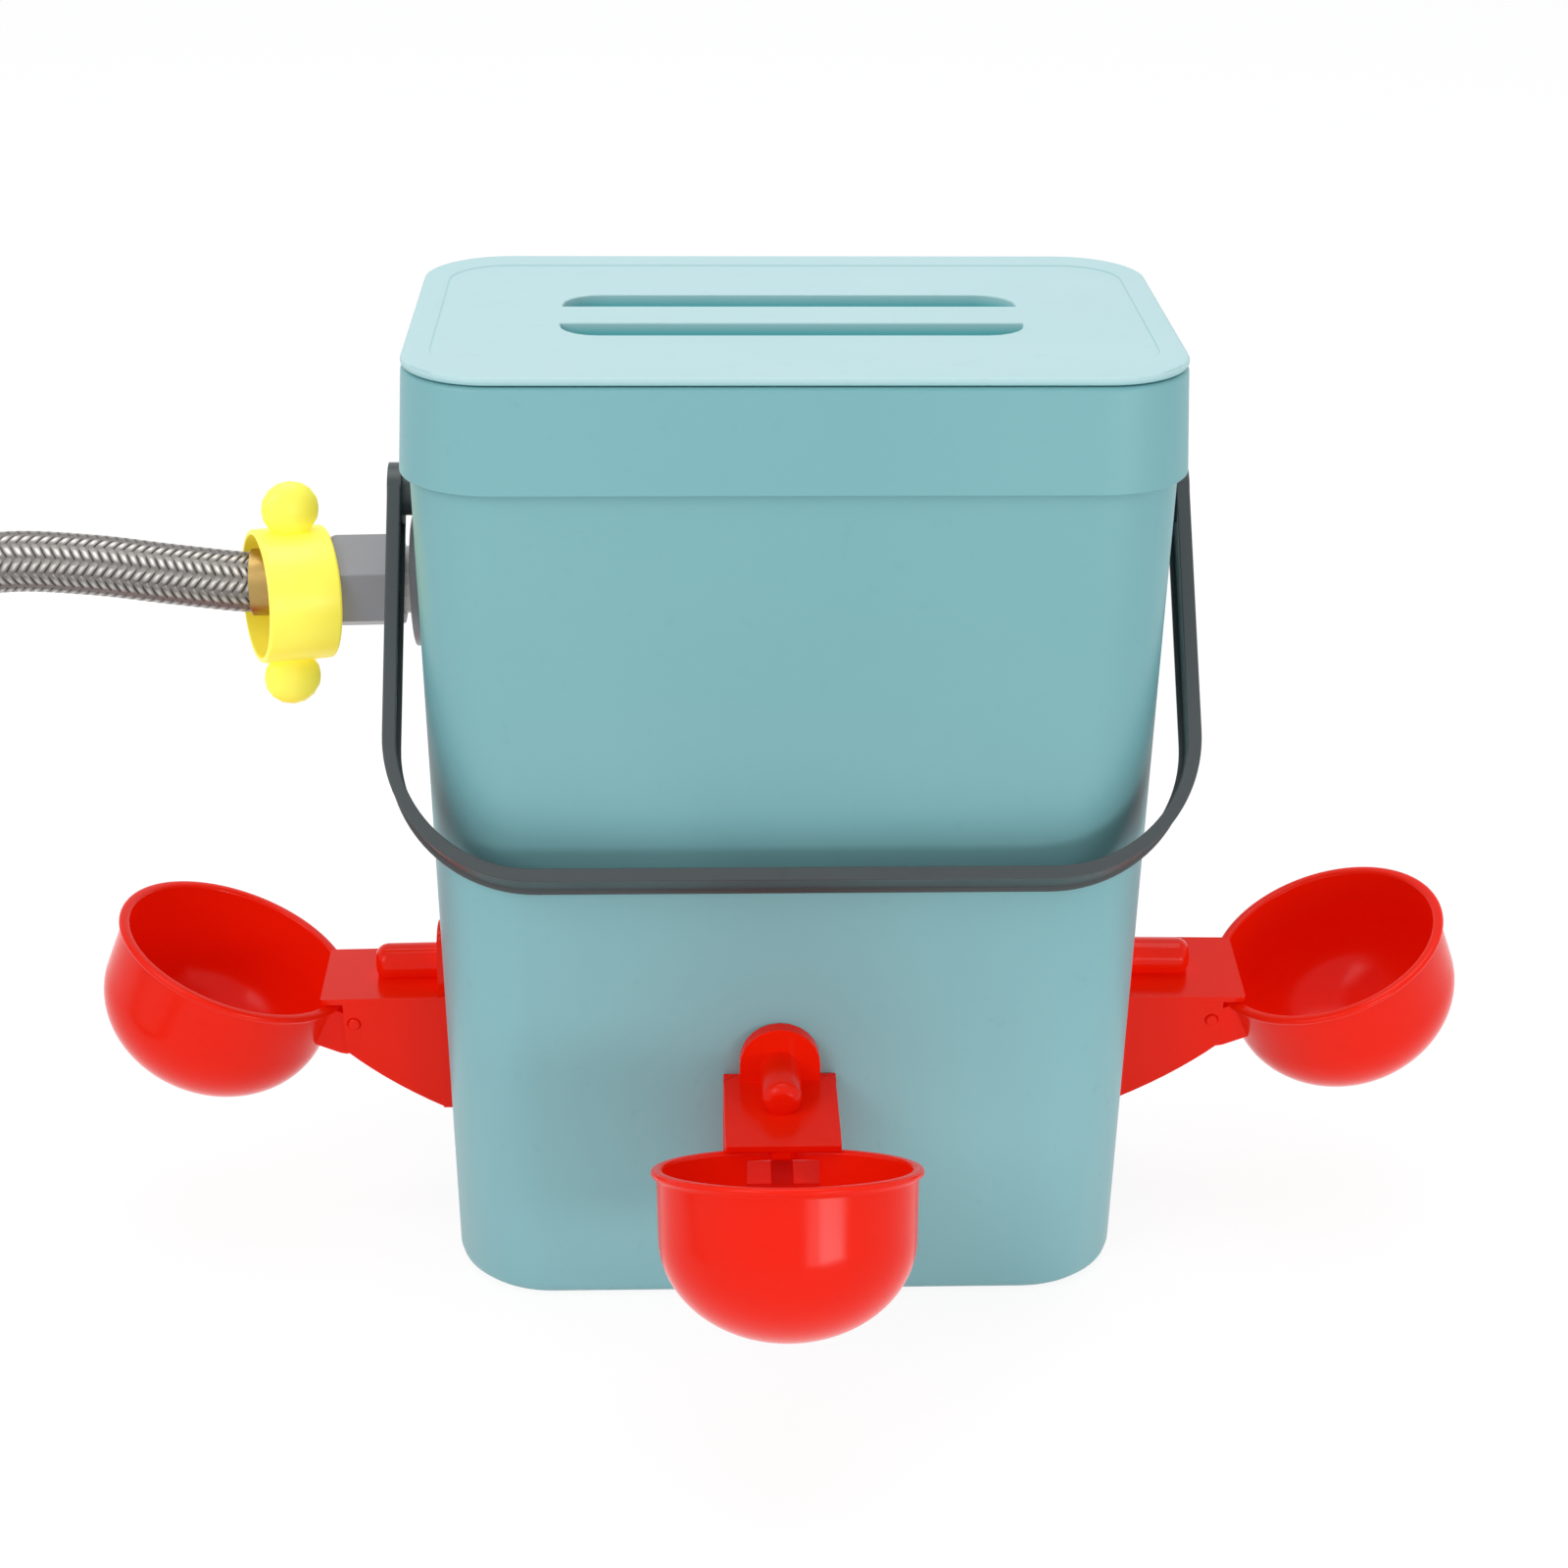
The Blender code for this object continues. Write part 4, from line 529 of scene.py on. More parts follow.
def handle_mesh():
    outer = LID_WIDTH / 2 + COLLAR_FLARE + HANDLE_CLEARANCE + HANDLE_THICKNESS
    inner = outer - HANDLE_THICKNESS
    hub = HANDLE_DEPTH / 2 + HUB_PROUD
    corner = HANDLE_CORNER_RADIUS
    turn = (outer - corner, HANDLE_REACH - corner)
    path = [((outer, 0.0), (-1.0, 0.0))]
    for x, drop in arc(turn, corner, 0.0, pi / 2, BEND_STEPS):
        path.append(((x, drop), ((turn[0] - x) / corner, (turn[1] - drop) / corner)))
    path += [((-x, drop), (-inward, upward)) for (x, drop), (inward, upward) in reversed(path)]
    depth = HANDLE_DEPTH / 2
    lip = depth - HANDLE_LIP
    web = HANDLE_GROOVE + HANDLE_WEB
    wall_edge = depth - HANDLE_WEB
    section = [
        (0.0, -depth),
        (0.0, -lip),
        (HANDLE_GROOVE, HANDLE_GROOVE - lip),
        (HANDLE_GROOVE, lip - HANDLE_GROOVE),
        (0.0, lip),
        (0.0, depth),
        (HANDLE_THICKNESS, depth),
        (HANDLE_THICKNESS, wall_edge),
        (web, wall_edge),
        (web, -wall_edge),
        (HANDLE_THICKNESS, -wall_edge),
        (HANDLE_THICKNESS, -depth),
    ]
    rings = []
    for (x, drop), (inward, upward) in path:
        rings.append([(x + inward * into, side, -(drop + upward * into)) for into, side in section])
    bail = loft(rings, "handle")
    wall = wall_at(PIVOT_HEIGHT)
    for side in (-1, 1):
        hub_profile = stepped(
            (outer + HUB_PROUD, hub, inner - HUB_PROUD),
            (inner - HUB_PROUD, HUB_BOSS_RADIUS, wall + RUNNING_GAP),
            (wall + RUNNING_GAP, STUB_RADIUS, wall - WALL - STUB_PAST_WALL),
        )
        knuckle = turned(hub_profile, "knuckle", LARGE_STEPS)
        bail = fuse(bail, turn_to(knuckle, Matrix.Rotation(side * pi / 2, 4, "Y")))
    return bail


def handle_rest_angle():
    """How far the hanging handle leans forward before the lip of its bar meets the front wall."""
    back = HANDLE_DEPTH / 2
    lip = HANDLE_REACH - HANDLE_THICKNESS
    reach = hypot(lip, back)
    lead = atan2(back, lip)
    lean = 0.0
    for step in range(LEAN_ROUNDS):
        height = PIVOT_HEIGHT - reach * cos(lean - lead)
        front = wall_at(height) - DEPTH_CUT + RUNNING_GAP
        lean = asin(front / reach) + lead
    return lean


def bracket_mesh():
    """Flange, cheeks, plate, spout and valve tube in one moulding, with its bores."""
    half = BRACKET_WIDTH / 2
    top = -PLATE_DROP
    under = top - PLATE_THICKNESS
    foot = top - CHEEK_BACK_HEIGHT
    face = GAP + FLANGE_THICKNESS
    arch = arc((0.0, FLANGE_ARCH_RISE), FLANGE_ARCH_RADIUS, 0.0, pi, ARCH_STEPS)
    side = half + FLANGE_OVERHANG
    flange_outline = [(-side, foot), (side, foot), (side, top), (FLANGE_ARCH_RADIUS, top), *arch]
    flange_outline += [(-FLANGE_ARCH_RADIUS, top), (-side, top)]
    upright = Matrix(((0, 0, 1, 0), (1, 0, 0, 0), (0, 1, 0, 0), (0, 0, 0, 1)))
    flange = turn_to(extruded(flange_outline, GAP, face, "bracket"), upright)
    root = face - GAP
    chin = (CHEEK_REACH, top - CHEEK_FRONT_HEIGHT)
    belly = (CHEEK_BELLY_REACH, top - CHEEK_BELLY_HEIGHT)
    cheek_top = top - PLATE_THICKNESS / 2
    cheek_foot = foot + FLANGE_OVERHANG
    cheek_outline = [(root, cheek_top)]
    cheek_outline += bend((root, cheek_foot), belly, chin, CHEEK_STEPS)
    cheek_outline.append((CHEEK_REACH, cheek_top))
    body = flange
    cheek_half = half - CHEEK_INSET
    for low in (-cheek_half, cheek_half - BRACKET_WALL):
        cheek = extruded(cheek_outline, low, low + BRACKET_WALL, "cheek")
        body = fuse(body, turn_to(cheek, ON_SIDE))
    round_off = PLATE_CORNER_RADIUS
    plate_outline = [(root, half), (root, -half)]
    for side, start in ((-1, -pi / 2), (1, 0.0)):
        corner = (PLATE_REACH - round_off, side * (half - round_off))
        plate_outline += arc(corner, round_off, start, start + pi / 2, EDGE_STEPS)
    body = fuse(body, extruded(plate_outline, under, top, "plate"))
    nib = PLATE_REACH - GAP
    beside = SPOUT_WIDTH / 2
    spout = [(nib - SPOUT_LENGTH, -beside), (nib - SPOUT_LENGTH / 2, -beside), (nib, -beside / 2)]
    spout += [(x, -y) for x, y in reversed(spout)]
    body = fuse(body, extruded(spout, under - SPOUT_HEIGHT, under + PLATE_THICKNESS / 2, "spout"))
    inner_end = -(WALL + STEM_PAST_WALL)
    centre = TUBE_LENGTH - TUBE_END_RADIUS
    crown = arc((TUBE_RADIUS - TUBE_END_RADIUS, centre), TUBE_END_RADIUS, 0.0, pi / 2, EDGE_STEPS)
    stem_profile = [
        (0.0, inner_end),
        (STEM_RADIUS - GAP, inner_end),
        (STEM_RADIUS, inner_end + GAP),
        (STEM_RADIUS, face - GAP),
        (TUBE_RADIUS, face - GAP),
        *crown,
        (0.0, TUBE_LENGTH),
    ]
    body = fuse(body, turn_to(turned(stem_profile, "stem"), ALONG_X))
    bore_end = VALVE_REACH + VALVE_ROD_RADIUS + 2 * RUNNING_GAP
    bore = rod(STEM_BORE_RADIUS, inner_end - WALL, bore_end, "bore", SMALL_STEPS)
    port = rod(VALVE_ROD_RADIUS + RUNNING_GAP, under - BRACKET_WALL, 0.0, "port", SMALL_STEPS)
    hinge = rod(PIN_RADIUS + GAP, -half - BRACKET_WALL, half + BRACKET_WALL, "hinge", SMALL_STEPS)
    to_hinge = shift(PIN_REACH, 0.0, -PIN_DROP) @ ALONG_Y
    return cut(body, turn_to(bore, ALONG_X), turn_to(port, shift(VALVE_REACH)), turn_to(hinge, to_hinge))


def bowl_arc(waist, low, bulge):
    """The bowl's rounded part, from beside its lowest point up to where its wall stands."""
    turns = [pi / 2 * step / BOWL_STEPS for step in range(1, BOWL_STEPS + 1)]
    return [(waist * sin(turn), low - bulge * cos(turn)) for turn in turns]


def bowl_mesh():
    """The bowl's outer form, solid up to its rim."""
    wall = RIM_RADIUS - RIM_LIP
    waist = wall - CUP_TAPER
    bulge = CUP_DEPTH - CUP_STRAIGHT
    low = RIM_RISE - CUP_STRAIGHT
    profile = [(0.0, low - bulge)]
    profile += bowl_arc(waist, low, bulge)
    profile.append((wall, RIM_RISE - RIM_HEIGHT - RIM_LIP / 2))
    bead = RIM_HEIGHT / 2
    profile += arc((RIM_RADIUS - bead, RIM_RISE - bead), bead, -pi / 2, pi / 2, EDGE_STEPS)
    profile.append((0.0, RIM_RISE))
    return turned(profile, "cup", CUP_STEPS)


def hollow_mesh():
    """The space inside the bowl."""
    mouth = RIM_RADIUS - RIM_LIP - CUP_WALL
    waist = mouth - CUP_TAPER
    bulge = CUP_DEPTH - CUP_STRAIGHT - CUP_WALL
    low = RIM_RISE - CUP_STRAIGHT
    profile = [(0.0, low - bulge)]
    profile += bowl_arc(waist, low, bulge)
    bead = RIM_HEIGHT / 2
    profile += arc((mouth + bead, RIM_RISE - bead), bead, pi, pi / 2, MOUTH_STEPS)
    profile += [(mouth + bead, RIM_RISE + RIM_LIP), (0.0, RIM_RISE + RIM_LIP)]
    return turned(profile, "hollow", CUP_STEPS)


def finger_spot():
    """The lever finger's tip in the level cup's frame, from where it stands at rest."""
    back = VALVE_REACH - PIN_REACH
    drop = -FINGER_DROP
    return (
        back * cos(CUP_TILT) + drop * sin(CUP_TILT),
        drop * cos(CUP_TILT) - back * sin(CUP_TILT),
    )


def neck_half():
    """Half the width that the neck has between the bracket's cheeks."""
    return BRACKET_WIDTH / 2 - CHEEK_INSET - BRACKET_WALL - RUNNING_GAP


def neck_mesh():
    """A block behind the bowl that the hinge ears are left from."""
    eye = NECK_EYE_RADIUS
    heel = -NECK_FOOT
    end = CUP_REACH - RIM_RADIUS / 2
    outline = [(end, RIM_RISE - RIM_LIP), (eye / 2, RIM_RISE - RIM_LIP)]
    outline += arc((0.0, 0.0), eye, pi / 3, pi, EYE_STEPS)[1:]
    outline += arc((0.0, heel + eye), eye, pi, 3 * pi / 2, EDGE_STEPS)
    outline.append((end, heel))
    return turn_to(extruded(outline, -neck_half(), neck_half(), "neck"), ON_SIDE)


def window_mesh():
    """What opens the neck between its ears and runs on under the rim into the bowl."""
    back = -2 * NECK_EYE_RADIUS
    front = CUP_REACH - RIM_RADIUS / 2
    sill = NECK_SILL - NECK_FOOT
    lintel = RIM_RISE - RIM_HEIGHT - RIM_LIP / 2
    rim = CUP_REACH - RIM_RADIUS - GAP
    outline = [(back, sill), (front, sill), (front, lintel), (rim, lintel), (rim, -back), (back, -back)]
    gap = neck_half() - NECK_WALL
    return turn_to(extruded(outline, -gap, gap, "window"), ON_SIDE)


def finger_mesh():
    """The lever behind the hinge that lifts the valve."""
    tip = Vector(finger_spot())
    root = Vector((0.0, NECK_SILL / 2 - NECK_FOOT))
    along = (root - tip).normalized()
    beside = Vector((-along.y, along.x)) * FINGER_RADIUS
    start = atan2(beside.y, beside.x)
    strip = arc(tuple(tip), FINGER_RADIUS, start, start + pi, EYE_STEPS)
    strip += [tuple(root - beside), tuple(root + beside)]
    finger = extruded(strip, -FINGER_WIDTH / 2, FINGER_WIDTH / 2, "finger")
    return turn_to(finger, ON_SIDE)


def cup_mesh():
    to_bowl = shift(CUP_REACH)
    body = fuse(turn_to(bowl_mesh(), to_bowl), neck_mesh())
    body = cut(body, turn_to(hollow_mesh(), to_bowl), window_mesh())
    body = fuse(body, finger_mesh())
    eye_bore = rod(PIN_RADIUS + GAP, -BRACKET_WIDTH, BRACKET_WIDTH, "eye", SMALL_STEPS)
    return cut(body, turn_to(eye_bore, ALONG_Y))


def valve_levels():
    """The height of the valve pad's top in the bracket's frame at rest, and the valve's travel."""
    pad_foot = FINGER_RADIUS + RUNNING_GAP - PIN_DROP - FINGER_DROP
    return pad_foot + VALVE_PAD_THICKNESS, finger_spot()[1] + FINGER_DROP


def spring_mesh():
    """A compression spring between the valve pad and the plate, as one open coil."""
    low = valve_levels()[0] + GAP + SPRING_WIRE_RADIUS
    high = -PLATE_DROP - PLATE_THICKNESS - GAP - SPRING_WIRE_RADIUS
    count = SPRING_TURNS * SPRING_POINTS_PER_TURN
    curve = bpy.data.curves.new("valve_spring", "CURVE")
    curve.dimensions = "3D"
    curve.bevel_depth = SPRING_WIRE_RADIUS
    curve.bevel_resolution = SPRING_ROUNDNESS
    curve.use_fill_caps = True
    spline = curve.splines.new("POLY")
    spline.points.add(count)
    for i, spot in enumerate(spline.points):
        angle = 2 * pi * i / SPRING_POINTS_PER_TURN
        height = low + (high - low) * i / count
        spot.co = (SPRING_RADIUS * cos(angle), SPRING_RADIUS * sin(angle), height, 1.0)
    coil = place("coil_path", curve)
    mesh = result_of(coil)
    bpy.data.objects.remove(coil)
    return mesh


def hex_blank_mesh(flats, low, high, name):
    """A hexagonal bar along +Z with its corners chamfered at both ends."""
    corner = flats / 2 / cos(pi / 6)
    chamfer = corner - flats / 2
    half = [(0.0, low), (flats / 2, low), (corner, low + chamfer)]
    half += [(radius, low + high - height) for radius, height in reversed(half)]
    envelope = turned(half, "envelope", SMALL_STEPS)
    hexagon = [(corner * cos(pi / 3 * i), corner * sin(pi / 3 * i)) for i in range(6)]
    return combine(extruded(hexagon, low, high, name), [envelope], "INTERSECT")


# Places along the inlet: distances from the wall's outer face, out of the pail

GASKET_END = GAP + INLET_GASKET_THICKNESS
FLANGE_NUT_START = GASKET_END + GAP
FLANGE_NUT_END = FLANGE_NUT_START + FLANGE_NUT_LENGTH
HOSE_NUT_START = FLANGE_NUT_END + GAP
HOSE_NUT_END = HOSE_NUT_START + HOSE_NUT_LENGTH
TAIL_FLANGE_END = HOSE_NUT_END - HOSE_NUT_END_WALL - GAP
TAIL_FLANGE_START = TAIL_FLANGE_END - TAIL_FLANGE_THICKNESS
FERRULE_START = HOSE_NUT_END + RUNNING_GAP
FERRULE_END = FERRULE_START + FERRULE_LENGTH
HOSE_START = FERRULE_START + FERRULE_END_WALL + GAP


def flange_nut_mesh():
    """A flanged lock nut, its flange against the gasket."""
    brim_end = FLANGE_NUT_START + FLANGE_NUT_FLANGE
    brim = rod(FLANGE_NUT_RADIUS, FLANGE_NUT_START, brim_end, "flange_nut", LARGE_STEPS)
    body = fuse(brim, hex_blank_mesh(FLANGE_NUT_FLATS, brim_end - GAP, FLANGE_NUT_END, "hexagon"))
    return cut(body, rod(SHANK_RADIUS + GAP, FLANGE_NUT_START - WALL, FLANGE_NUT_END + WALL, "thread"))


def hose_nut_mesh():
    """A deep union nut with a hole for the hose's tail in its end wall."""
    start, end, flats = HOSE_NUT_START, HOSE_NUT_END, HOSE_NUT_FLATS
    hole = rod(TAIL_NECK_RADIUS + GAP, start - flats, end + flats, "hole")
    socket = rod(SHANK_RADIUS + GAP, start - WALL, end - HOSE_NUT_END_WALL, "thread")
    return cut(hex_blank_mesh(flats, start, end, "hose_nut"), hole, socket)


def hose_ferrule_mesh():
    """The hose's tail and the crimped ferrule over its end, as one turned piece."""
    socket = HOSE_RADIUS + GAP
    inner_end = FERRULE_START + FERRULE_END_WALL
    profile = stepped(
        (TAIL_FLANGE_START, TAIL_FLANGE_RADIUS, TAIL_FLANGE_END),
        (TAIL_FLANGE_END, TAIL_NECK_RADIUS, FERRULE_START),
        (FERRULE_START, socket + FERRULE_WALL, FERRULE_END),
        (FERRULE_END, socket, inner_end),
    )
    profile = [(TAIL_BORE_RADIUS, TAIL_FLANGE_START), *profile[1:-1], (TAIL_BORE_RADIUS, inner_end)]
    return turned(profile, "hose_ferrule")


def wing_grip_mesh():
    """A ring with two round ears, along local +Z with its ears along Y."""
    half = GRIP_LENGTH / 2
    edge = GRIP_WALL / 3
    profile = [(0.0, -half), (GRIP_RADIUS - edge, -half), (GRIP_RADIUS, edge - half)]
    profile += [(radius, -height) for radius, height in reversed(profile)]
    body = turned(profile, "wing_grip", CUP_STEPS)
    for side in (-1, 1):
        ear = bpy.data.meshes.new("ear")
        ball = bmesh.new()
        bmesh.ops.create_uvsphere(ball, u_segments=EAR_STEPS, v_segments=EAR_STEPS // 2, radius=EAR_RADIUS)
        bmesh.ops.scale(ball, vec=(EAR_THICKNESS / EAR_RADIUS / 2, 1.0, 1.0), verts=ball.verts)
        ball.to_mesh(ear)
        ball.free()
        body = fuse(body, turn_to(ear, shift(y=side * EAR_SPREAD)))
    return cut(body, rod(GRIP_RADIUS - GRIP_WALL, -2 * half, 2 * half, "bore", CUP_STEPS))


# Studio and camera

PHOTO_SIZE = 1600
FOCAL_PIXELS = 2967.0
SENSOR = 36.0
NEAR_CLIP, FAR_CLIP = 0.02, 20.0
CAMERA_SPOT = (-0.02864, -0.75504, 0.47203)
CAMERA_DOWN = radians(24.107)
CAMERA_YAW = radians(2.129)
CAMERA_ROLL = radians(-0.568)
SUBJECT = (0.0, 0.0, 0.13)
KEY_SPOT, KEY_SIZE, KEY_POWER = (-1.1, -1.1, 1.2), (1.0, 1.0), 8.5
TOP_SPOT, TOP_SIZE, TOP_POWER = (0.0, 0.2, 1.8), (1.4, 1.0), 11.0
WINDOW_TARGET = (0.0, -0.15, 0.05)
WINDOW_RISE = radians(7.5)
WINDOW_REACH = 1.15
WINDOW_HEIGHT = 0.19
WINDOW_PANES = ((radians(36), 0.47, 2.5), (radians(18.5), 0.16, 0.4))
WHITE = (1.0, 1.0, 1.0, 1.0)
SKY = (0.97, 0.98, 1.0, 1.0)
SKY_STRENGTH = 0.60
FLOOR_REACH = 4.0
FLOOR_GLOW = 1.07
FLOOR_SHARE = 0.82


def add_camera():
    """The photograph's own viewpoint."""
    level = cos(CAMERA_DOWN)
    forward = Vector((sin(CAMERA_YAW) * level, cos(CAMERA_YAW) * level, -sin(CAMERA_DOWN)))
    right = Vector((cos(CAMERA_YAW), -sin(CAMERA_YAW), 0.0))
    down = forward.cross(right)
    across = cos(CAMERA_ROLL) * right + sin(CAMERA_ROLL) * down
    upward = sin(CAMERA_ROLL) * right - cos(CAMERA_ROLL) * down
    camera = place("photo_camera", bpy.data.cameras.new("photo_camera"))
    camera.data.sensor_width = SENSOR
    camera.data.lens = FOCAL_PIXELS * SENSOR / PHOTO_SIZE
    camera.data.clip_start = NEAR_CLIP
    camera.data.clip_end = FAR_CLIP
    camera.matrix_world = shift(*CAMERA_SPOT) @ Matrix((across, upward, -forward)).transposed().to_4x4()
    bpy.context.scene.camera = camera


def area_light(name, spot, target, size, power):
    lamp = place(name, bpy.data.lights.new(name, "AREA"))
    lamp.data.shape = "RECTANGLE"
    lamp.data.size, lamp.data.size_y = size
    lamp.data.energy = power
    aim = (Vector(target) - Vector(spot)).to_track_quat("-Z", "Y").to_matrix().to_4x4()
    lamp.matrix_world = shift(*spot) @ aim


def add_lights():
    """A soft key, a top light, and two window panes whose reflection stands on the front cup's wall."""
    area_light("key", KEY_SPOT, SUBJECT, KEY_SIZE, KEY_POWER)
    area_light("top", TOP_SPOT, SUBJECT, TOP_SIZE, TOP_POWER)
    cup = Vector(WINDOW_TARGET)
    level = cos(WINDOW_RISE)
    for turn, width, power in WINDOW_PANES:
        heading = Vector((sin(turn) * level, -cos(turn) * level, sin(WINDOW_RISE)))
        area_light("window", cup + heading * WINDOW_REACH, cup, (width, WINDOW_HEIGHT), power)


def seen_directly(tree):
    """One for rays that show the surface itself: from the camera, by reflection or through glass."""
    path = tree.nodes.new("ShaderNodeLightPath")
    camera, glossy, passing = (
        Value(tree, path.outputs[kind]) for kind in ("Is Camera Ray", "Is Glossy Ray", "Is Transmission Ray")
    )
    return camera.maths("MAXIMUM", glossy).maths("MAXIMUM", passing)


def add_world():
    """White to the camera and in reflections, soft light to the surfaces."""
    world = bpy.data.worlds.new("studio")
    bpy.context.scene.world = world
    world.use_nodes = True
    tree = world.node_tree
    tree.nodes.clear()
    soft, white = (
        add_node(tree, "ShaderNodeBackground", "Background", {}, {"Color": colour, "Strength": strength})
        for colour, strength in ((SKY, SKY_STRENGTH), (WHITE, 1.0))
    )
    mix = {"Fac": seen_directly(tree), 1: soft, 2: white}
    shown = add_node(tree, "ShaderNodeMixShader", "Shader", {}, mix)
    tree.links.new(shown.socket, tree.nodes.new("ShaderNodeOutputWorld").inputs["Surface"])


def add_floor():
    """A pale floor that keeps a soft shadow and runs out into the white background."""
    mesh = bpy.data.meshes.new("floor")
    corners = [(FLOOR_REACH * x, FLOOR_REACH * y, 0.0) for x, y in ((-1, -1), (1, -1), (1, 1), (-1, 1))]
    mesh.from_pydata(corners, [], [(0, 1, 2, 3)])
    floor = place("floor", mesh)
    pale = Finish("pale_floor", (0.90, 0.90, 0.90), 0.9)
    tree = pale.tree
    glow = add_node(tree, "ShaderNodeEmission", "Emission", {}, {"Strength": FLOOR_GLOW})
    surface = Value(tree, pale.shader.outputs["BSDF"])
    mix = {"Fac": seen_directly(tree) * FLOOR_SHARE, 1: surface, 2: glow}
    shown = add_node(tree, "ShaderNodeMixShader", "Shader", {}, mix)
    tree.links.new(shown.socket, tree.nodes["Material Output"].inputs["Surface"])
    mesh.materials.append(pale.material)


# Shader arithmetic

def add_node(tree, kind, output, settings, inputs):
    """A node with its settings, then the values or links of its sockets. Gives one of its outputs."""
    node = tree.nodes.new(kind)
    for key, setting in settings.items():
        setattr(node, key, setting)
    for key, given in inputs.items():
        if isinstance(given, Value):
            tree.links.new(given.socket, node.inputs[key])
        else:
            node.inputs[key].default_value = given
    return Value(tree, node.outputs[output])


class Value:
    """A node socket that can be scaled, taken away and mixed like a number."""

    def __init__(self, tree, socket):
        self.tree = tree
        self.socket = socket

    def maths(self, operation, *others):
        given = dict(enumerate((self, *others)))
        return add_node(self.tree, "ShaderNodeMath", 0, {"operation": operation}, given)

    def __sub__(self, other):
        return self.maths("SUBTRACT", other)

    def __rsub__(self, other):
        return self.maths("MULTIPLY_ADD", -1.0, other)

    def __mul__(self, other):
        return self.maths("MULTIPLY", other)

    __rmul__ = __mul__

    def near(self, reach):
        """One where this value lies within a reach of zero."""
        return self.maths("ABSOLUTE").maths("LESS_THAN", reach)

    def between(self, low, high, start=0.0, end=1.0):
        """This value mapped from one range to another, and held inside it."""
        given = {"Value": self, "From Min": low, "From Max": high, "To Min": start, "To Max": end}
        return add_node(self.tree, "ShaderNodeMapRange", "Result", {}, given)


EVEN = (1.0, 1.0, 1.0)
NOISE_RANGE = (0.3, 0.7)
REFRACTION = 1.47
SKIN_DEPTH = 0.00002


class Finish:
    """A procedural material, built up from textures on Object coordinates."""

    def __init__(self, name, colour, roughness, metallic=0.0, shine=0.5, glow=WHITE, glow_strength=0.0):
        self.material = bpy.data.materials.new(name)
        self.material.use_nodes = True
        self.tree = self.material.node_tree
        self.shader = self.tree.nodes["Principled BSDF"]
        self.coordinates = self.tree.nodes.new("ShaderNodeTexCoord")
        self.base = (*colour, 1.0)
        self.relief = {}
        settings = {"Base Color": self.base, "Roughness": roughness, "Metallic": metallic, "IOR": REFRACTION}
        settings |= {"Specular IOR Level": shine, "Emission Color": glow, "Emission Strength": glow_strength}
        for key, given in settings.items():
            self.shader.inputs[key].default_value = given

    def feed(self, value, key):
        self.tree.links.new(value.socket, self.shader.inputs[key])

    def texture(self, kind, output, stretch, **sockets):
        """A texture's value, its coordinates stretched along the axes."""
        spot = {"Vector": Value(self.tree, self.coordinates.outputs["Object"]), "Scale": stretch}
        sockets["Vector"] = add_node(self.tree, "ShaderNodeMapping", "Vector", {}, spot)
        return add_node(self.tree, "ShaderNodeTex" + kind, output, {}, sockets)

    def noise(self, scale, detail, stretch=EVEN, distortion=0.0):
        return self.texture("Noise", "Fac", stretch, Scale=scale, Detail=detail, Distortion=distortion)

    def axis(self, name, space="Object"):
        spot = {"Vector": Value(self.tree, self.coordinates.outputs[space])}
        return add_node(self.tree, "ShaderNodeSeparateXYZ", name, {}, spot)

    def tint(self, factor, colour):
        """Mixes a colour in by a factor, over what the base colour has so far."""
        given = {0: factor, 6: self.base, 7: (*colour, 1.0)}
        self.base = add_node(self.tree, "ShaderNodeMix", 2, {"data_type": "RGBA"}, given)
        self.feed(self.base, "Base Color")

    def mottle(self, colour, most, low, high, **noise):
        """Mixes a colour in by a noise, from none at its low value to the most at its high one."""
        self.tint(self.noise(**noise).between(low, high, 0.0, most), colour)

    def rough(self, texture, low, high):
        self.feed(texture.between(*NOISE_RANGE, low, high), "Roughness")

    def bump(self, height, distance, strength):
        """Adds a relief to what the surface has so far."""
        self.relief |= {"Height": height, "Distance": distance, "Strength": strength}
        self.relief = {"Normal": add_node(self.tree, "ShaderNodeBump", "Normal", {}, self.relief)}
        self.feed(self.relief["Normal"], "Normal")


def shaded(colour, factor):
    """A colour made darker or lighter."""
    return tuple(min(1.0, channel * factor) for channel in colour)


def moulded(name, colour, roughness, dark=0.90, light=1.06, waves=0.00012, **extra):
    """Moulded plastic: faint flow marks, an uneven sheen and a fine skin."""
    made = Finish(name, colour, roughness, **extra)
    flow = {"scale": 9.0, "detail": 4.0, "stretch": (1.0, 1.0, 0.35), "distortion": 0.6}
    made.mottle(shaded(colour, light), 0.55, 0.35, 0.75, **flow)
    made.mottle(shaded(colour, dark), 0.35, 0.62, 0.80, scale=160.0, detail=2.0)
    made.rough(made.noise(24.0, 5.0), roughness - 0.05, roughness + 0.07)
    made.bump(made.noise(1900.0, 2.0), SKIN_DEPTH, 0.5)
    made.bump(made.noise(70.0, 2.0), waves, 0.35)
    return made


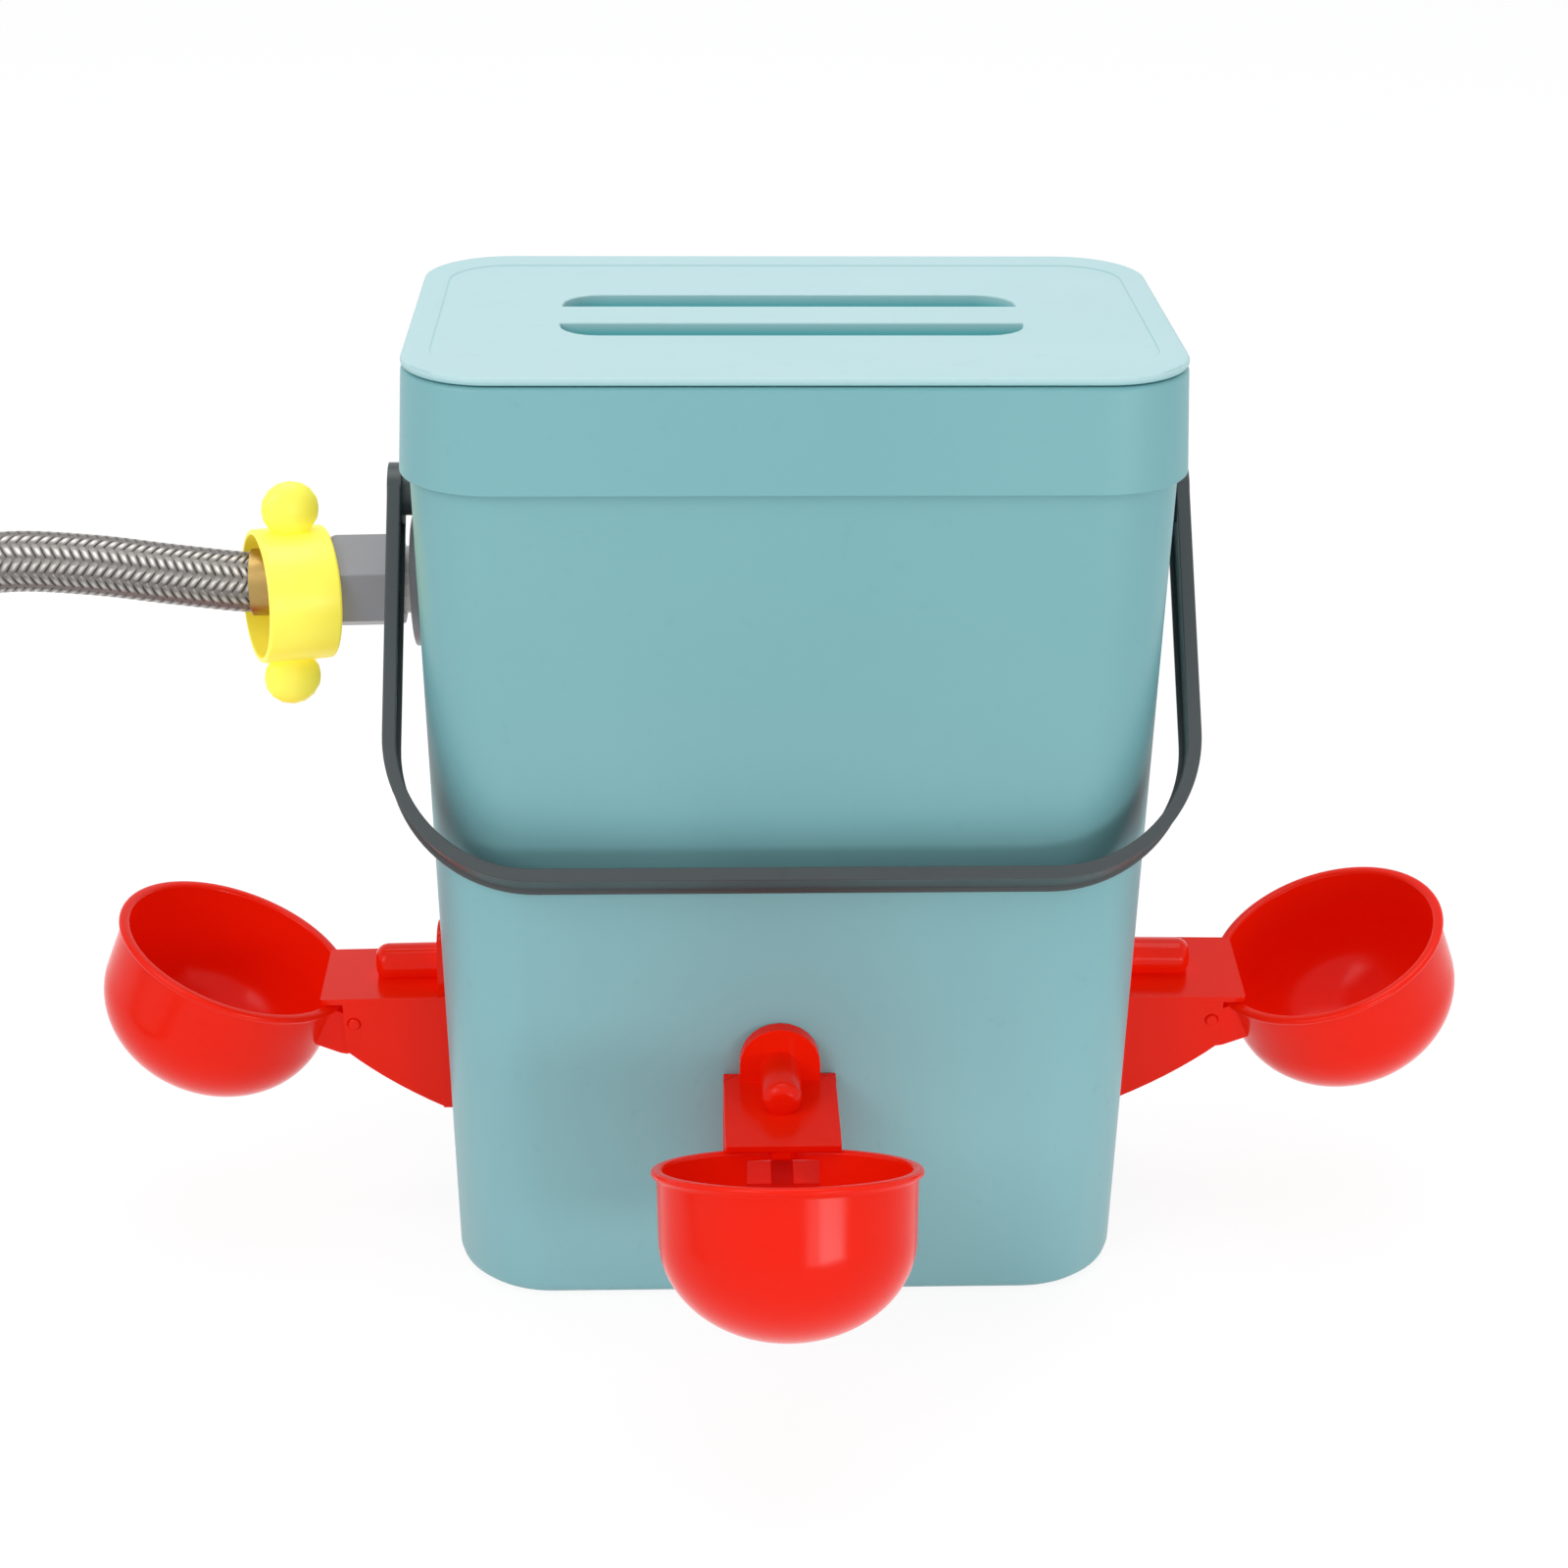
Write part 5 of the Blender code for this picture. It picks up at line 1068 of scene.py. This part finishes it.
def pail_plastic():
    """The pail's satin blue with fine rub marks, darker near its top as painted shade under the collar, and
    paler towards its foot and its left side as painted light.
    """
    made = Finish("pail_plastic", (0.190, 0.440, 0.465), 0.40, shine=0.4)
    # Painted shade and light: darker near the top under the collar, paler towards the foot.
    made.tint(made.axis("Z").between(0.20, 0.05), (0.255, 0.520, 0.550))
    # Painted light: paler on the left side, where more light falls.
    made.tint(made.axis("X").between(0.02, -0.10, 0.0, 0.35), (0.240, 0.500, 0.535))
    flow = {"scale": 7.0, "detail": 4.0, "stretch": (1.0, 1.0, 0.3), "distortion": 0.8}
    made.mottle((0.24, 0.50, 0.53), 0.20, 0.40, 0.75, **flow)
    made.mottle((0.16, 0.38, 0.41), 0.20, 0.64, 0.80, scale=220.0, detail=2.0)
    made.rough(made.noise(55.0, 6.0, (1.0, 1.0, 0.08)), 0.34, 0.48)
    made.bump(made.noise(1600.0, 2.0), SKIN_DEPTH, 0.5)
    made.bump(made.noise(34.0, 2.0), 0.00020, 0.30)
    return made


def lid_plastic():
    """The lid's blue, painted paler than the pail's for the light and sheen its top takes from above, with
    painted shade in its slots and along the panel's line.
    """
    # The base colour is painted light: paler than the pail's blue for the light and sheen the lid's top
    # takes from above.
    made = moulded("lid_plastic", (0.455, 0.665, 0.685), 0.48, dark=0.93, light=1.05)
    face = TOTAL_HEIGHT - LID_PANEL_STEP
    height = made.axis("Z")
    # Painted shade: darker below the panel's face, down in the slots.
    made.tint(height.between(face - 0.0004, face - 0.0030, 0.0, 0.95), (0.120, 0.50, 0.52))
    # Painted shade along the panel's line, where the face steps down.
    slope = (height - (face + LID_PANEL_STEP / 2)).near(LID_PANEL_STEP * 0.4)
    inside = made.axis("X").near(LID_WIDTH / 2 - LID_BORDER_SIDE / 2)
    within = made.axis("Y").near(LID_DEPTH / 2 - LID_BORDER_FRONT / 2)
    made.tint(slope * inside * within * 0.5, (0.27, 0.53, 0.55))
    return made


def yellow_plastic():
    """Bright yellow with a painted glow in its own shade, standing in for the light that thin translucent
    plastic lets through.
    """
    # Painted glow: a faint orange emission lifts the yellow in its own shade.
    glow = {"glow": (1.0, 0.68, 0.03, 1.0), "glow_strength": 0.28}
    made = Finish("yellow_plastic", (1.0, 0.95, 0.12), 0.36, **glow)
    made.mottle((0.98, 0.88, 0.08), 0.4, 0.45, 0.75, scale=90.0, detail=3.0)
    made.rough(made.noise(60.0, 4.0), 0.30, 0.44)
    made.bump(made.noise(1500.0, 2.0), SKIN_DEPTH, 0.5)
    return made


def float_foam():
    """Closed-cell foam: small round cells in the skin, with painted shade in their pits."""
    made = Finish("float_foam", (0.72, 0.72, 0.70), 0.72)
    cells = made.texture("Voronoi", "Distance", EVEN, Scale=900.0)
    # Painted shade: the cells' pits are darker.
    made.tint(cells.between(0.0, 0.5, 0.35, 0.0), (0.55, 0.55, 0.53))
    made.rough(made.noise(300.0, 3.0), 0.62, 0.82)
    made.bump(cells, 0.00012, 0.8)
    return made


def rubber():
    made = Finish("matt_rubber", (0.022, 0.021, 0.021), 0.70)
    made.mottle((0.045, 0.042, 0.040), 0.7, 0.45, 0.8, scale=120.0, detail=4.0)
    made.rough(made.noise(220.0, 3.0), 0.60, 0.82)
    made.bump(made.noise(1300.0, 3.0), 0.00004, 0.8)
    return made


def metal(name, colour, roughness):
    """Drawn or turned metal with a fine grain."""
    made = Finish(name, colour, roughness, metallic=1.0)
    grain = made.noise(900.0, 2.0)
    made.mottle(shaded(colour, 0.78), 0.6, 0.4, 0.8, scale=60.0, detail=4.0)
    made.rough(grain, roughness - 0.06, roughness + 0.10)
    made.bump(grain, 0.00001, 0.6)
    return made


def braid_metal():
    """Braid strands: eight wires side by side, with a painted glint where a strand lies on top and painted
    shade between its wires and at its edges.
    """
    made = Finish("braid_metal", (0.240, 0.226, 0.214), 0.28, metallic=1.0)
    crown = (made.axis("X", "UV") * (2 * pi)).maths("SINE")
    edge = (made.axis("Y", "UV") - 0.5).maths("ABSOLUTE")
    # Painted glint: brighter where a strand lies on top, standing in for the lamps' highlights.
    made.tint(crown.between(0.60, 1.0) * edge.between(0.34, 0.05), (0.66, 0.635, 0.61))
    wires = (made.axis("Y", "UV") * 8.0).maths("PINGPONG", 0.5) * 2.0
    # Painted shade in the grooves between the wires.
    made.tint(wires.between(0.45, 0.0, 0.0, 0.45), (0.10, 0.093, 0.086))
    # Painted shade at each strand's edges, between the strands.
    made.tint(edge.between(0.38, 0.50, 0.0, 0.65), (0.080, 0.075, 0.070))
    made.rough(made.noise(500.0, 3.0), 0.28, 0.42)
    made.bump(wires, 0.00006, 0.6)
    return made


# Painted glow: the red plastic gets a faint red emission of its own, though it is no lamp.
RED_GLOW = {"glow": (1.0, 0.004, 0.0, 1.0), "glow_strength": 0.14, "shine": 0.17, "waves": 0.00003}
# Painted glow: the grey nut plastic gets a faint emission that lifts its shaded faces.
NUT_GLOW = {"glow": (0.9, 0.9, 0.95, 1.0), "glow_strength": 0.08}
FINISHES = {
    "drinker_red": moulded("red_plastic", (0.73, 0.012, 0.001), 0.17, 0.86, 1.04, **RED_GLOW),
    "nut_grey": moulded("nut_plastic", (0.195, 0.195, 0.208), 0.36, 0.85, 1.12, **NUT_GLOW),
    "handle_grey": moulded("handle_plastic", (0.046, 0.056, 0.058), 0.40, 0.80, 1.25),
    "white": moulded("white_plastic", (0.76, 0.76, 0.74), 0.42),
    "ferrule_brass": metal("dull_brass", (0.46, 0.31, 0.11), 0.38),
    "spring_steel": metal("drawn_steel", (0.60, 0.60, 0.59), 0.26),
    "pail_blue": pail_plastic(),
    "lid_blue": lid_plastic(),
    "wing_yellow": yellow_plastic(),
    "hose_braid": braid_metal(),
    "rubber": rubber(),
    "foam": float_foam(),
}


# Pieces

MERGE_DISTANCE = 0.00003
FINE_MERGE_DISTANCE = 0.000004
SHARP_ANGLE = radians(32)
SMOOTH_ANGLE = radians(38)
EDGE_SEGMENTS = 3
SPARE, TIGHT = (2.0, 1.5), (3.0, 3.0)


def mark_edges(mesh, width, least, room):
    """Marks the outer edges to round: long ones, with faces wide enough on both sides."""
    shape = bmesh.new()
    shape.from_mesh(mesh)
    weight = shape.edges.layers.float.new("bevel_weight_edge")
    for edge in shape.edges:
        length = edge.calc_length()
        if not edge.is_convex or length <= least * width or edge.calc_face_angle(0.0) <= SHARP_ANGLE:
            continue
        if min(face.calc_area() for face in edge.link_faces) > room * width * length:
            edge[weight] = 1.0
    shape.to_mesh(mesh)
    shape.free()


def merge_close(mesh, distance):
    """Merges points that lie on one spot and drops faces without an area."""
    shape = bmesh.new()
    shape.from_mesh(mesh)
    bmesh.ops.remove_doubles(shape, verts=shape.verts, dist=distance)
    bmesh.ops.dissolve_degenerate(shape, edges=shape.edges, dist=distance)
    shape.to_mesh(mesh)
    shape.free()


def bake(piece):
    """Puts a piece's modifiers into its mesh."""
    result = result_of(piece)
    piece.modifiers.clear()
    piece.data = result


def show(name, stands_for, slot, mesh, matrix=None, edge=0.0, crowded=False, body="pail", finish=None):
    """One visible piece that stands for a CAD node and rides on its body, its edges rounded by a width."""
    if matrix is not None:
        mesh.transform(matrix)
    piece = place(name, mesh)
    mesh.materials.clear()
    mesh.materials.append(FINISHES[finish or slot].material)
    merge_close(mesh, MERGE_DISTANCE)
    mesh.shade_smooth()
    if edge:
        mark_edges(mesh, edge, *(TIGHT if crowded else SPARE))
        rounding = piece.modifiers.new("rounding", "BEVEL")
        rounding.width = edge
        rounding.segments = EDGE_SEGMENTS
        rounding.limit_method = "WEIGHT"
        rounding.use_clamp_overlap = crowded
        bake(piece)
        merge_close(piece.data, FINE_MERGE_DISTANCE)
        piece.data.shade_smooth()
    piece.data.set_sharp_from_angle(angle=SMOOTH_ANGLE)
    if edge:
        piece.modifiers.new("evening", "WEIGHTED_NORMAL").keep_sharp = True
        bake(piece)
    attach(piece, body)
    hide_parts(stands_for)
    return piece


def dress(finish, *names):
    """CAD nodes that keep their own shapes get a finish."""
    for name in names:
        node = bpy.data.objects[name]
        for holder in node.material_slots:
            holder.material = FINISHES[finish].material
        if not node.material_slots:
            node.data.materials.append(FINISHES[finish].material)


# Screw threads, as geometry nodes

THREAD_STEPS = 36
THREAD_SIDES = 6
STEM_THREAD_PITCH = 0.0013
STEM_THREAD_DEPTH = 0.0002
NUT_THREAD_PITCH = 0.0018
NUT_THREAD_DEPTH = 0.0006
THREAD_INPUTS = ("Radius", "Depth", "Pitch", "Turns", "Material")


def thread_nodes():
    """A helical ridge along Z. The radius is measured to the ridge's own axis."""
    group = bpy.data.node_groups.new("thread", "GeometryNodeTree")
    for name in THREAD_INPUTS:
        kind = "NodeSocketMaterial" if name == "Material" else "NodeSocketFloat"
        group.interface.new_socket(name=name, in_out="INPUT", socket_type=kind)
    group.interface.new_socket(name="Geometry", in_out="OUTPUT", socket_type="NodeSocketGeometry")
    source = group.nodes.new("NodeGroupInput")
    radius, depth, pitch, turns, material = (Value(group, source.outputs[name]) for name in THREAD_INPUTS)
    spiral = {"Resolution": THREAD_STEPS, "Rotations": turns, "Start Radius": radius, "End Radius": radius}
    spiral["Height"] = turns * pitch
    helix = add_node(group, "GeometryNodeCurveSpiral", "Curve", {}, spiral)
    round_form = {"Resolution": THREAD_SIDES, "Radius": depth}
    profile = add_node(group, "GeometryNodeCurvePrimitiveCircle", "Curve", {}, round_form)
    sweep = {"Curve": helix, "Profile Curve": profile, "Fill Caps": True}
    ridge = add_node(group, "GeometryNodeCurveToMesh", "Mesh", {}, sweep)
    real = add_node(group, "GeometryNodeRealizeInstances", "Geometry", {}, {"Geometry": ridge})
    coated = {"Geometry": real, "Material": material}
    result = add_node(group, "GeometryNodeSetMaterial", "Geometry", {}, coated)
    group.links.new(result.socket, group.nodes.new("NodeGroupOutput").inputs["Geometry"])
    return group


THREAD_NODES = thread_nodes()


def thread_mesh(slot, radius, depth, pitch, length):
    """One thread as a plain mesh, its modifier taken off again."""
    holder = place("thread", bpy.data.meshes.new("thread"))
    modifier = holder.modifiers.new("thread", "NODES")
    modifier.node_group = THREAD_NODES
    given = dict(zip(THREAD_INPUTS, (radius, depth, pitch, length / pitch, FINISHES[slot].material)))
    for item in THREAD_NODES.interface.items_tree:
        if item.item_type == "SOCKET" and item.in_out == "INPUT":
            modifier[item.identifier] = given[item.name]
    bake(holder)
    mesh = holder.data
    bpy.data.objects.remove(holder)
    return mesh


# Feed hose

HOSE_STEPS = 180
CORE_STEPS = 40
BRAID_CARRIERS = 12
BRAID_PITCH = 0.0306
BRAID_DEPTH = 0.00022
BRAID_SINK = 0.00052
BRAID_THICK = 0.00016
BRAID_FILL = 0.97
BRAID_PHASE = radians(-144.0)
BRAID_SAMPLES = 14
BRAID_SECTION = ((-1.0, -1.0), (-0.80, 0.30), (-0.30, 1.0), (0.30, 1.0), (0.80, 0.30), (1.0, -1.0))


def hose_frames(points):
    """Frames along the hose without a twist. The first starts on the hose's front side and turns upwards."""
    side = Vector((0.0, -1.0, 0.0))
    frames = []
    for before, after in zip([points[0], *points], [*points[1:], points[-1]]):
        tangent = (after - before).normalized()
        side = (side - tangent * side.dot(tangent)).normalized()
        frames.append((side, tangent.cross(side)))
    return frames


def spread(points, steps):
    """Places at even distances along a line of points: the point before each and the share past it."""
    lengths = running_lengths(points)
    spot = 0
    for step in range(steps + 1):
        target = lengths[-1] * step / steps
        while spot < len(points) - 2 and lengths[spot + 1] < target:
            spot += 1
        yield target, spot, (target - lengths[spot]) / (lengths[spot + 1] - lengths[spot])


def running_lengths(points):
    lengths = [0.0]
    for start, end in zip(points, points[1:]):
        lengths.append(lengths[-1] + (end - start).length)
    return lengths


def smooth_route(route, count):
    """Evenly spaced points on a smooth curve through a route, whose first and last points only steer it."""
    route = [Vector(point) for point in route]
    fine = []
    for before, start, end, after in zip(route, route[1:], route[2:], route[3:]):
        for step in range(ROUTE_STEPS):
            t = step / ROUTE_STEPS
            pull = (end - before) * t + (2 * before - 5 * start + 4 * end - after) * t ** 2
            pull += (3 * start - before - 3 * end + after) * t ** 3
            fine.append(start + pull / 2)
    fine.append(route[-2])
    return [fine[spot].lerp(fine[spot + 1], share) for _, spot, share in spread(fine, count - 1)]


def hose_points(inlet):
    """The hose's whole course, where it enters its far ferrule, and its direction there."""
    start, socket_end = (inlet @ Vector((reach, 0.0, 0.0)) for reach in (HOSE_START, FERRULE_END))
    arrival = Vector(HOSE_END)
    heading = (arrival - Vector(HOSE_ROUTE[-1])).normalized()
    last = arrival + heading * (FERRULE_LENGTH - FERRULE_END_WALL - GAP)
    route = smooth_route([start, socket_end, *HOSE_ROUTE, arrival, last], HOSE_STEPS)
    return [start, *route, last], arrival, heading


def braid_mesh(points, sign):
    """All strands that wind one way, two over and two under the others, laid along the hose's route."""
    frames = hose_frames(points)
    total = running_lengths(points)[-1]
    steps = int(total / BRAID_PITCH * BRAID_CARRIERS * BRAID_SAMPLES / 2)
    half = BRAID_FILL * pi / BRAID_CARRIERS
    wide = len(BRAID_SECTION)
    vertices, faces, marks = [], [], []
    for carrier in range(BRAID_CARRIERS):
        base = len(vertices)
        for height, spot, share in spread(points, steps):
            centre = points[spot].lerp(points[spot + 1], share)
            side, across = (a.lerp(b, share) for a, b in zip(frames[spot], frames[spot + 1]))
            turn = 2 * pi * (sign * height / BRAID_PITCH + carrier / BRAID_CARRIERS)
            for offset, rise in BRAID_SECTION:
                angle = turn + offset * half
                wave = BRAID_CARRIERS * angle / 2 + BRAID_PHASE
                lift = sign * BRAID_DEPTH * sin(wave)
                radius = HOSE_RADIUS - BRAID_SINK + lift + rise * BRAID_THICK
                vertices.append(centre + (side * cos(angle) + across * sin(angle)) * radius)
                marks.append((wave / (2 * pi) + (0.5 if sign < 0 else 0.0), offset / 2 + 0.5))
        for row in range(steps):
            low = base + wide * row
            for i in range(wide):
                j = (i + 1) % wide
                faces.append((low + i, low + j, low + wide + j, low + wide + i))
        faces.append(tuple(range(base, base + wide)))
        faces.append(tuple(reversed(range(base + wide * steps, base + wide * (steps + 1)))))
    mesh = bpy.data.meshes.new("braid")
    mesh.from_pydata(vertices, [], faces)
    work = bmesh.new()
    work.from_mesh(mesh)
    bmesh.ops.recalc_face_normals(work, faces=work.faces)
    layer = work.loops.layers.uv.new("strand")
    for face in work.faces:
        for loop in face.loops:
            loop[layer].uv = marks[loop.vert.index]
    work.to_mesh(mesh)
    work.free()
    return mesh


def core_mesh(points):
    """The dark tube under the braid."""
    radius = HOSE_RADIUS - BRAID_SINK - BRAID_DEPTH - BRAID_THICK
    turns = [2 * pi * i / CORE_STEPS for i in range(CORE_STEPS)]
    rings = []
    for point, (side, across) in zip(points, hose_frames(points)):
        rings.append([point + (side * cos(turn) + across * sin(turn)) * radius for turn in turns])
    return loft(rings, "hose_core")


# The object

NUT_EDGE = 0.0004
FLANGE_NUT_EDGE = 0.0003
FERRULE_EDGE = 0.00012
GRIP_EDGE = 0.0004
BRACKET_EDGE = 0.00020
CUP_EDGE = 0.00030
COLLAR_EDGE = 0.0004
LID_EDGE = 0.0005
HANDLE_EDGE = 0.0004
QUARTER_TURN = Matrix.Rotation(pi / 2, 4, "Z")


def add_hose(inlet):
    """The hose with its core, braid and fittings, and the grip round its first ferrule."""
    points, arrival, heading = hose_points(inlet)
    length = sum((b - a).length for a, b in zip(points, points[1:]))
    hose, second = (
        show(name, "feed_hose", "hose_braid", braid_mesh(points, sign))
        for name, sign in (("hose_braid_right", 1), ("hose_braid_left", -1))
    )
    core = show("hose_core", "feed_hose", "hose_braid", core_mesh(points), finish="rubber")
    on_wall = inlet @ ALONG_X
    nut_turn = on_wall @ Matrix.Rotation(HOSE_NUT_TURN, 4, "Z")
    show("shown_hose_nut", "hose_nut", "nut_grey", hose_nut_mesh(), nut_turn, NUT_EDGE, True)
    show("shown_ferrule", "hose_ferrule", "ferrule_brass", hose_ferrule_mesh(), on_wall, FERRULE_EDGE)
    cocked = inlet @ shift(GRIP_SPOT, GRIP_SHIFT, -GRIP_SAG) @ Matrix.Rotation(GRIP_YAW, 4, "Z")
    cocked = cocked @ Matrix.Rotation(GRIP_PITCH, 4, "Y") @ ALONG_X @ QUARTER_TURN
    show("shown_wing_grip", "wing_grip", "wing_yellow", wing_grip_mesh(), cocked, GRIP_EDGE)
    turned_back = (-heading).to_track_quat("X", "Z").to_matrix().to_4x4()
    far = shift(*(arrival + heading * FERRULE_END)) @ turned_back @ ALONG_X @ QUARTER_TURN
    show("shown_far_nut", "far_nut", "nut_grey", hose_nut_mesh(), far, NUT_EDGE, True)
    show("shown_far_ferrule", "far_ferrule", "ferrule_brass", hose_ferrule_mesh(), far, FERRULE_EDGE)
    thread_length = HOSE_NUT_LENGTH - HOSE_NUT_END_WALL - 2 * NUT_THREAD_PITCH
    thread = thread_mesh("nut_grey", SHANK_RADIUS + GAP, NUT_THREAD_DEPTH, NUT_THREAD_PITCH, thread_length)
    start = far @ shift(z=HOSE_NUT_START + NUT_THREAD_PITCH)
    show("shown_far_thread", "far_nut", "nut_grey", thread, start)


def add_valve_spring(side, wall):
    """The coil over the valve rod, shown at rest; the real one shortens as the cup's finger lifts the valve.
    """
    spot = wall @ shift(VALVE_REACH)
    spring = show("shown_spring_" + side, "valve_spring_" + side, "spring_steel", spring_mesh(), spot)
    ceiling = -PLATE_DROP - PLATE_THICKNESS
    pad_top, travel = valve_levels()
    room = ceiling - pad_top
    upwards = (spot.to_3x3() @ Vector((0.0, 0.0, 1.0)))[:]
    anchor = (spot @ Vector((0.0, 0.0, ceiling)))[:]
    "valve_lift_" + side
    (room - travel) / room
    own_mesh(spring)


def add_drinker(side, wall):
    """One bracket with its stem's thread, its cup at rest and its valve spring."""
    bracket, cup = "bracket_" + side, "cup_" + side
    show("shown_" + bracket, bracket, "drinker_red", bracket_mesh(), wall, BRACKET_EDGE)
    tilt = wall @ shift(PIN_REACH, 0.0, -PIN_DROP) @ Matrix.Rotation(-CUP_TILT, 4, "Y")
    show("shown_" + cup, cup, "drinker_red", cup_mesh(), tilt, CUP_EDGE, body=cup)
    length = STEM_PAST_WALL - STEM_THREAD_PITCH
    thread = thread_mesh("drinker_red", STEM_RADIUS, STEM_THREAD_DEPTH, STEM_THREAD_PITCH, length)
    start = wall @ shift(STEM_THREAD_PITCH / 2 - WALL - STEM_PAST_WALL) @ ALONG_X
    show("shown_stem_thread_" + side, bracket, "drinker_red", thread, start)
    add_valve_spring(side, wall)


def add_pail(ports, inlet):
    """The pail with its holes, the collar, the lid, and the bail as it hangs."""
    cutters = [wall_cutter(matrix, STEM_RADIUS + RUNNING_GAP, "stem_hole") for matrix in ports.values()]
    cutters.append(wall_cutter(inlet, SHANK_RADIUS + RUNNING_GAP, "inlet_hole"))
    across = rod(STUB_RADIUS + RUNNING_GAP, -LID_WIDTH, LID_WIDTH, "stub_holes")
    cutters.append(turn_to(across, shift(z=PIVOT_HEIGHT) @ ALONG_X))
    show("shown_pail", "bucket_body", "pail_blue", cut(pail_mesh(), *cutters))
    show("shown_collar", "rim_collar", "pail_blue", collar_mesh(), None, COLLAR_EDGE)
    show("shown_lid", "lid", "lid_blue", lid_mesh(), None, LID_EDGE, body="lid")
    lean = shift(z=PIVOT_HEIGHT) @ Matrix.Rotation(-handle_rest_angle(), 4, "X")
    show("shown_handle", "handle", "handle_grey", handle_mesh(), lean, HANDLE_EDGE, body="carrying_handle")


def build():
    inlet = wall_matrix("left", INLET_HEIGHT, INLET_OFFSET)
    add_hose(inlet)
    ports = {
        "left": wall_matrix("left", SIDE_PORT_HEIGHT, 0.0, LEFT_PORT_ROLL),
        "front": wall_matrix("front", SIDE_PORT_HEIGHT - FRONT_PORT_DROP, FRONT_PORT_OFFSET),
        "right": wall_matrix("right", SIDE_PORT_HEIGHT, 0.0, RIGHT_PORT_ROLL),
    }
    for side, matrix in ports.items():
        add_drinker(side, matrix)
    add_pail(ports, inlet)
    nut = "inlet_flange_nut"
    show("shown_flange_nut", nut, "nut_grey", flange_nut_mesh(), inlet @ ALONG_X, FLANGE_NUT_EDGE, True)
    dress("handle_grey", "handle_cap_left", "handle_cap_right")
    dress("rubber", "inlet_gasket", "inlet_inner_gasket", "hose_washer", "far_washer", "float_piston")
    dress("white", "float_valve_body", "float_lever")
    dress("foam", "float")
    dress("spring_steel", "float_lever_pin")
    for side in ports:
        dress("drinker_red", "hinge_pin_" + side, "stem_nut_" + side)
        dress("nut_grey", "valve_rod_" + side)
        dress("rubber", "valve_seal_" + side, "stem_gasket_" + side)


add_camera()
build()
add_floor()
add_lights()
add_world()
bpy.context.scene.view_settings.view_transform = "Standard"
bpy.context.view_layer.update()
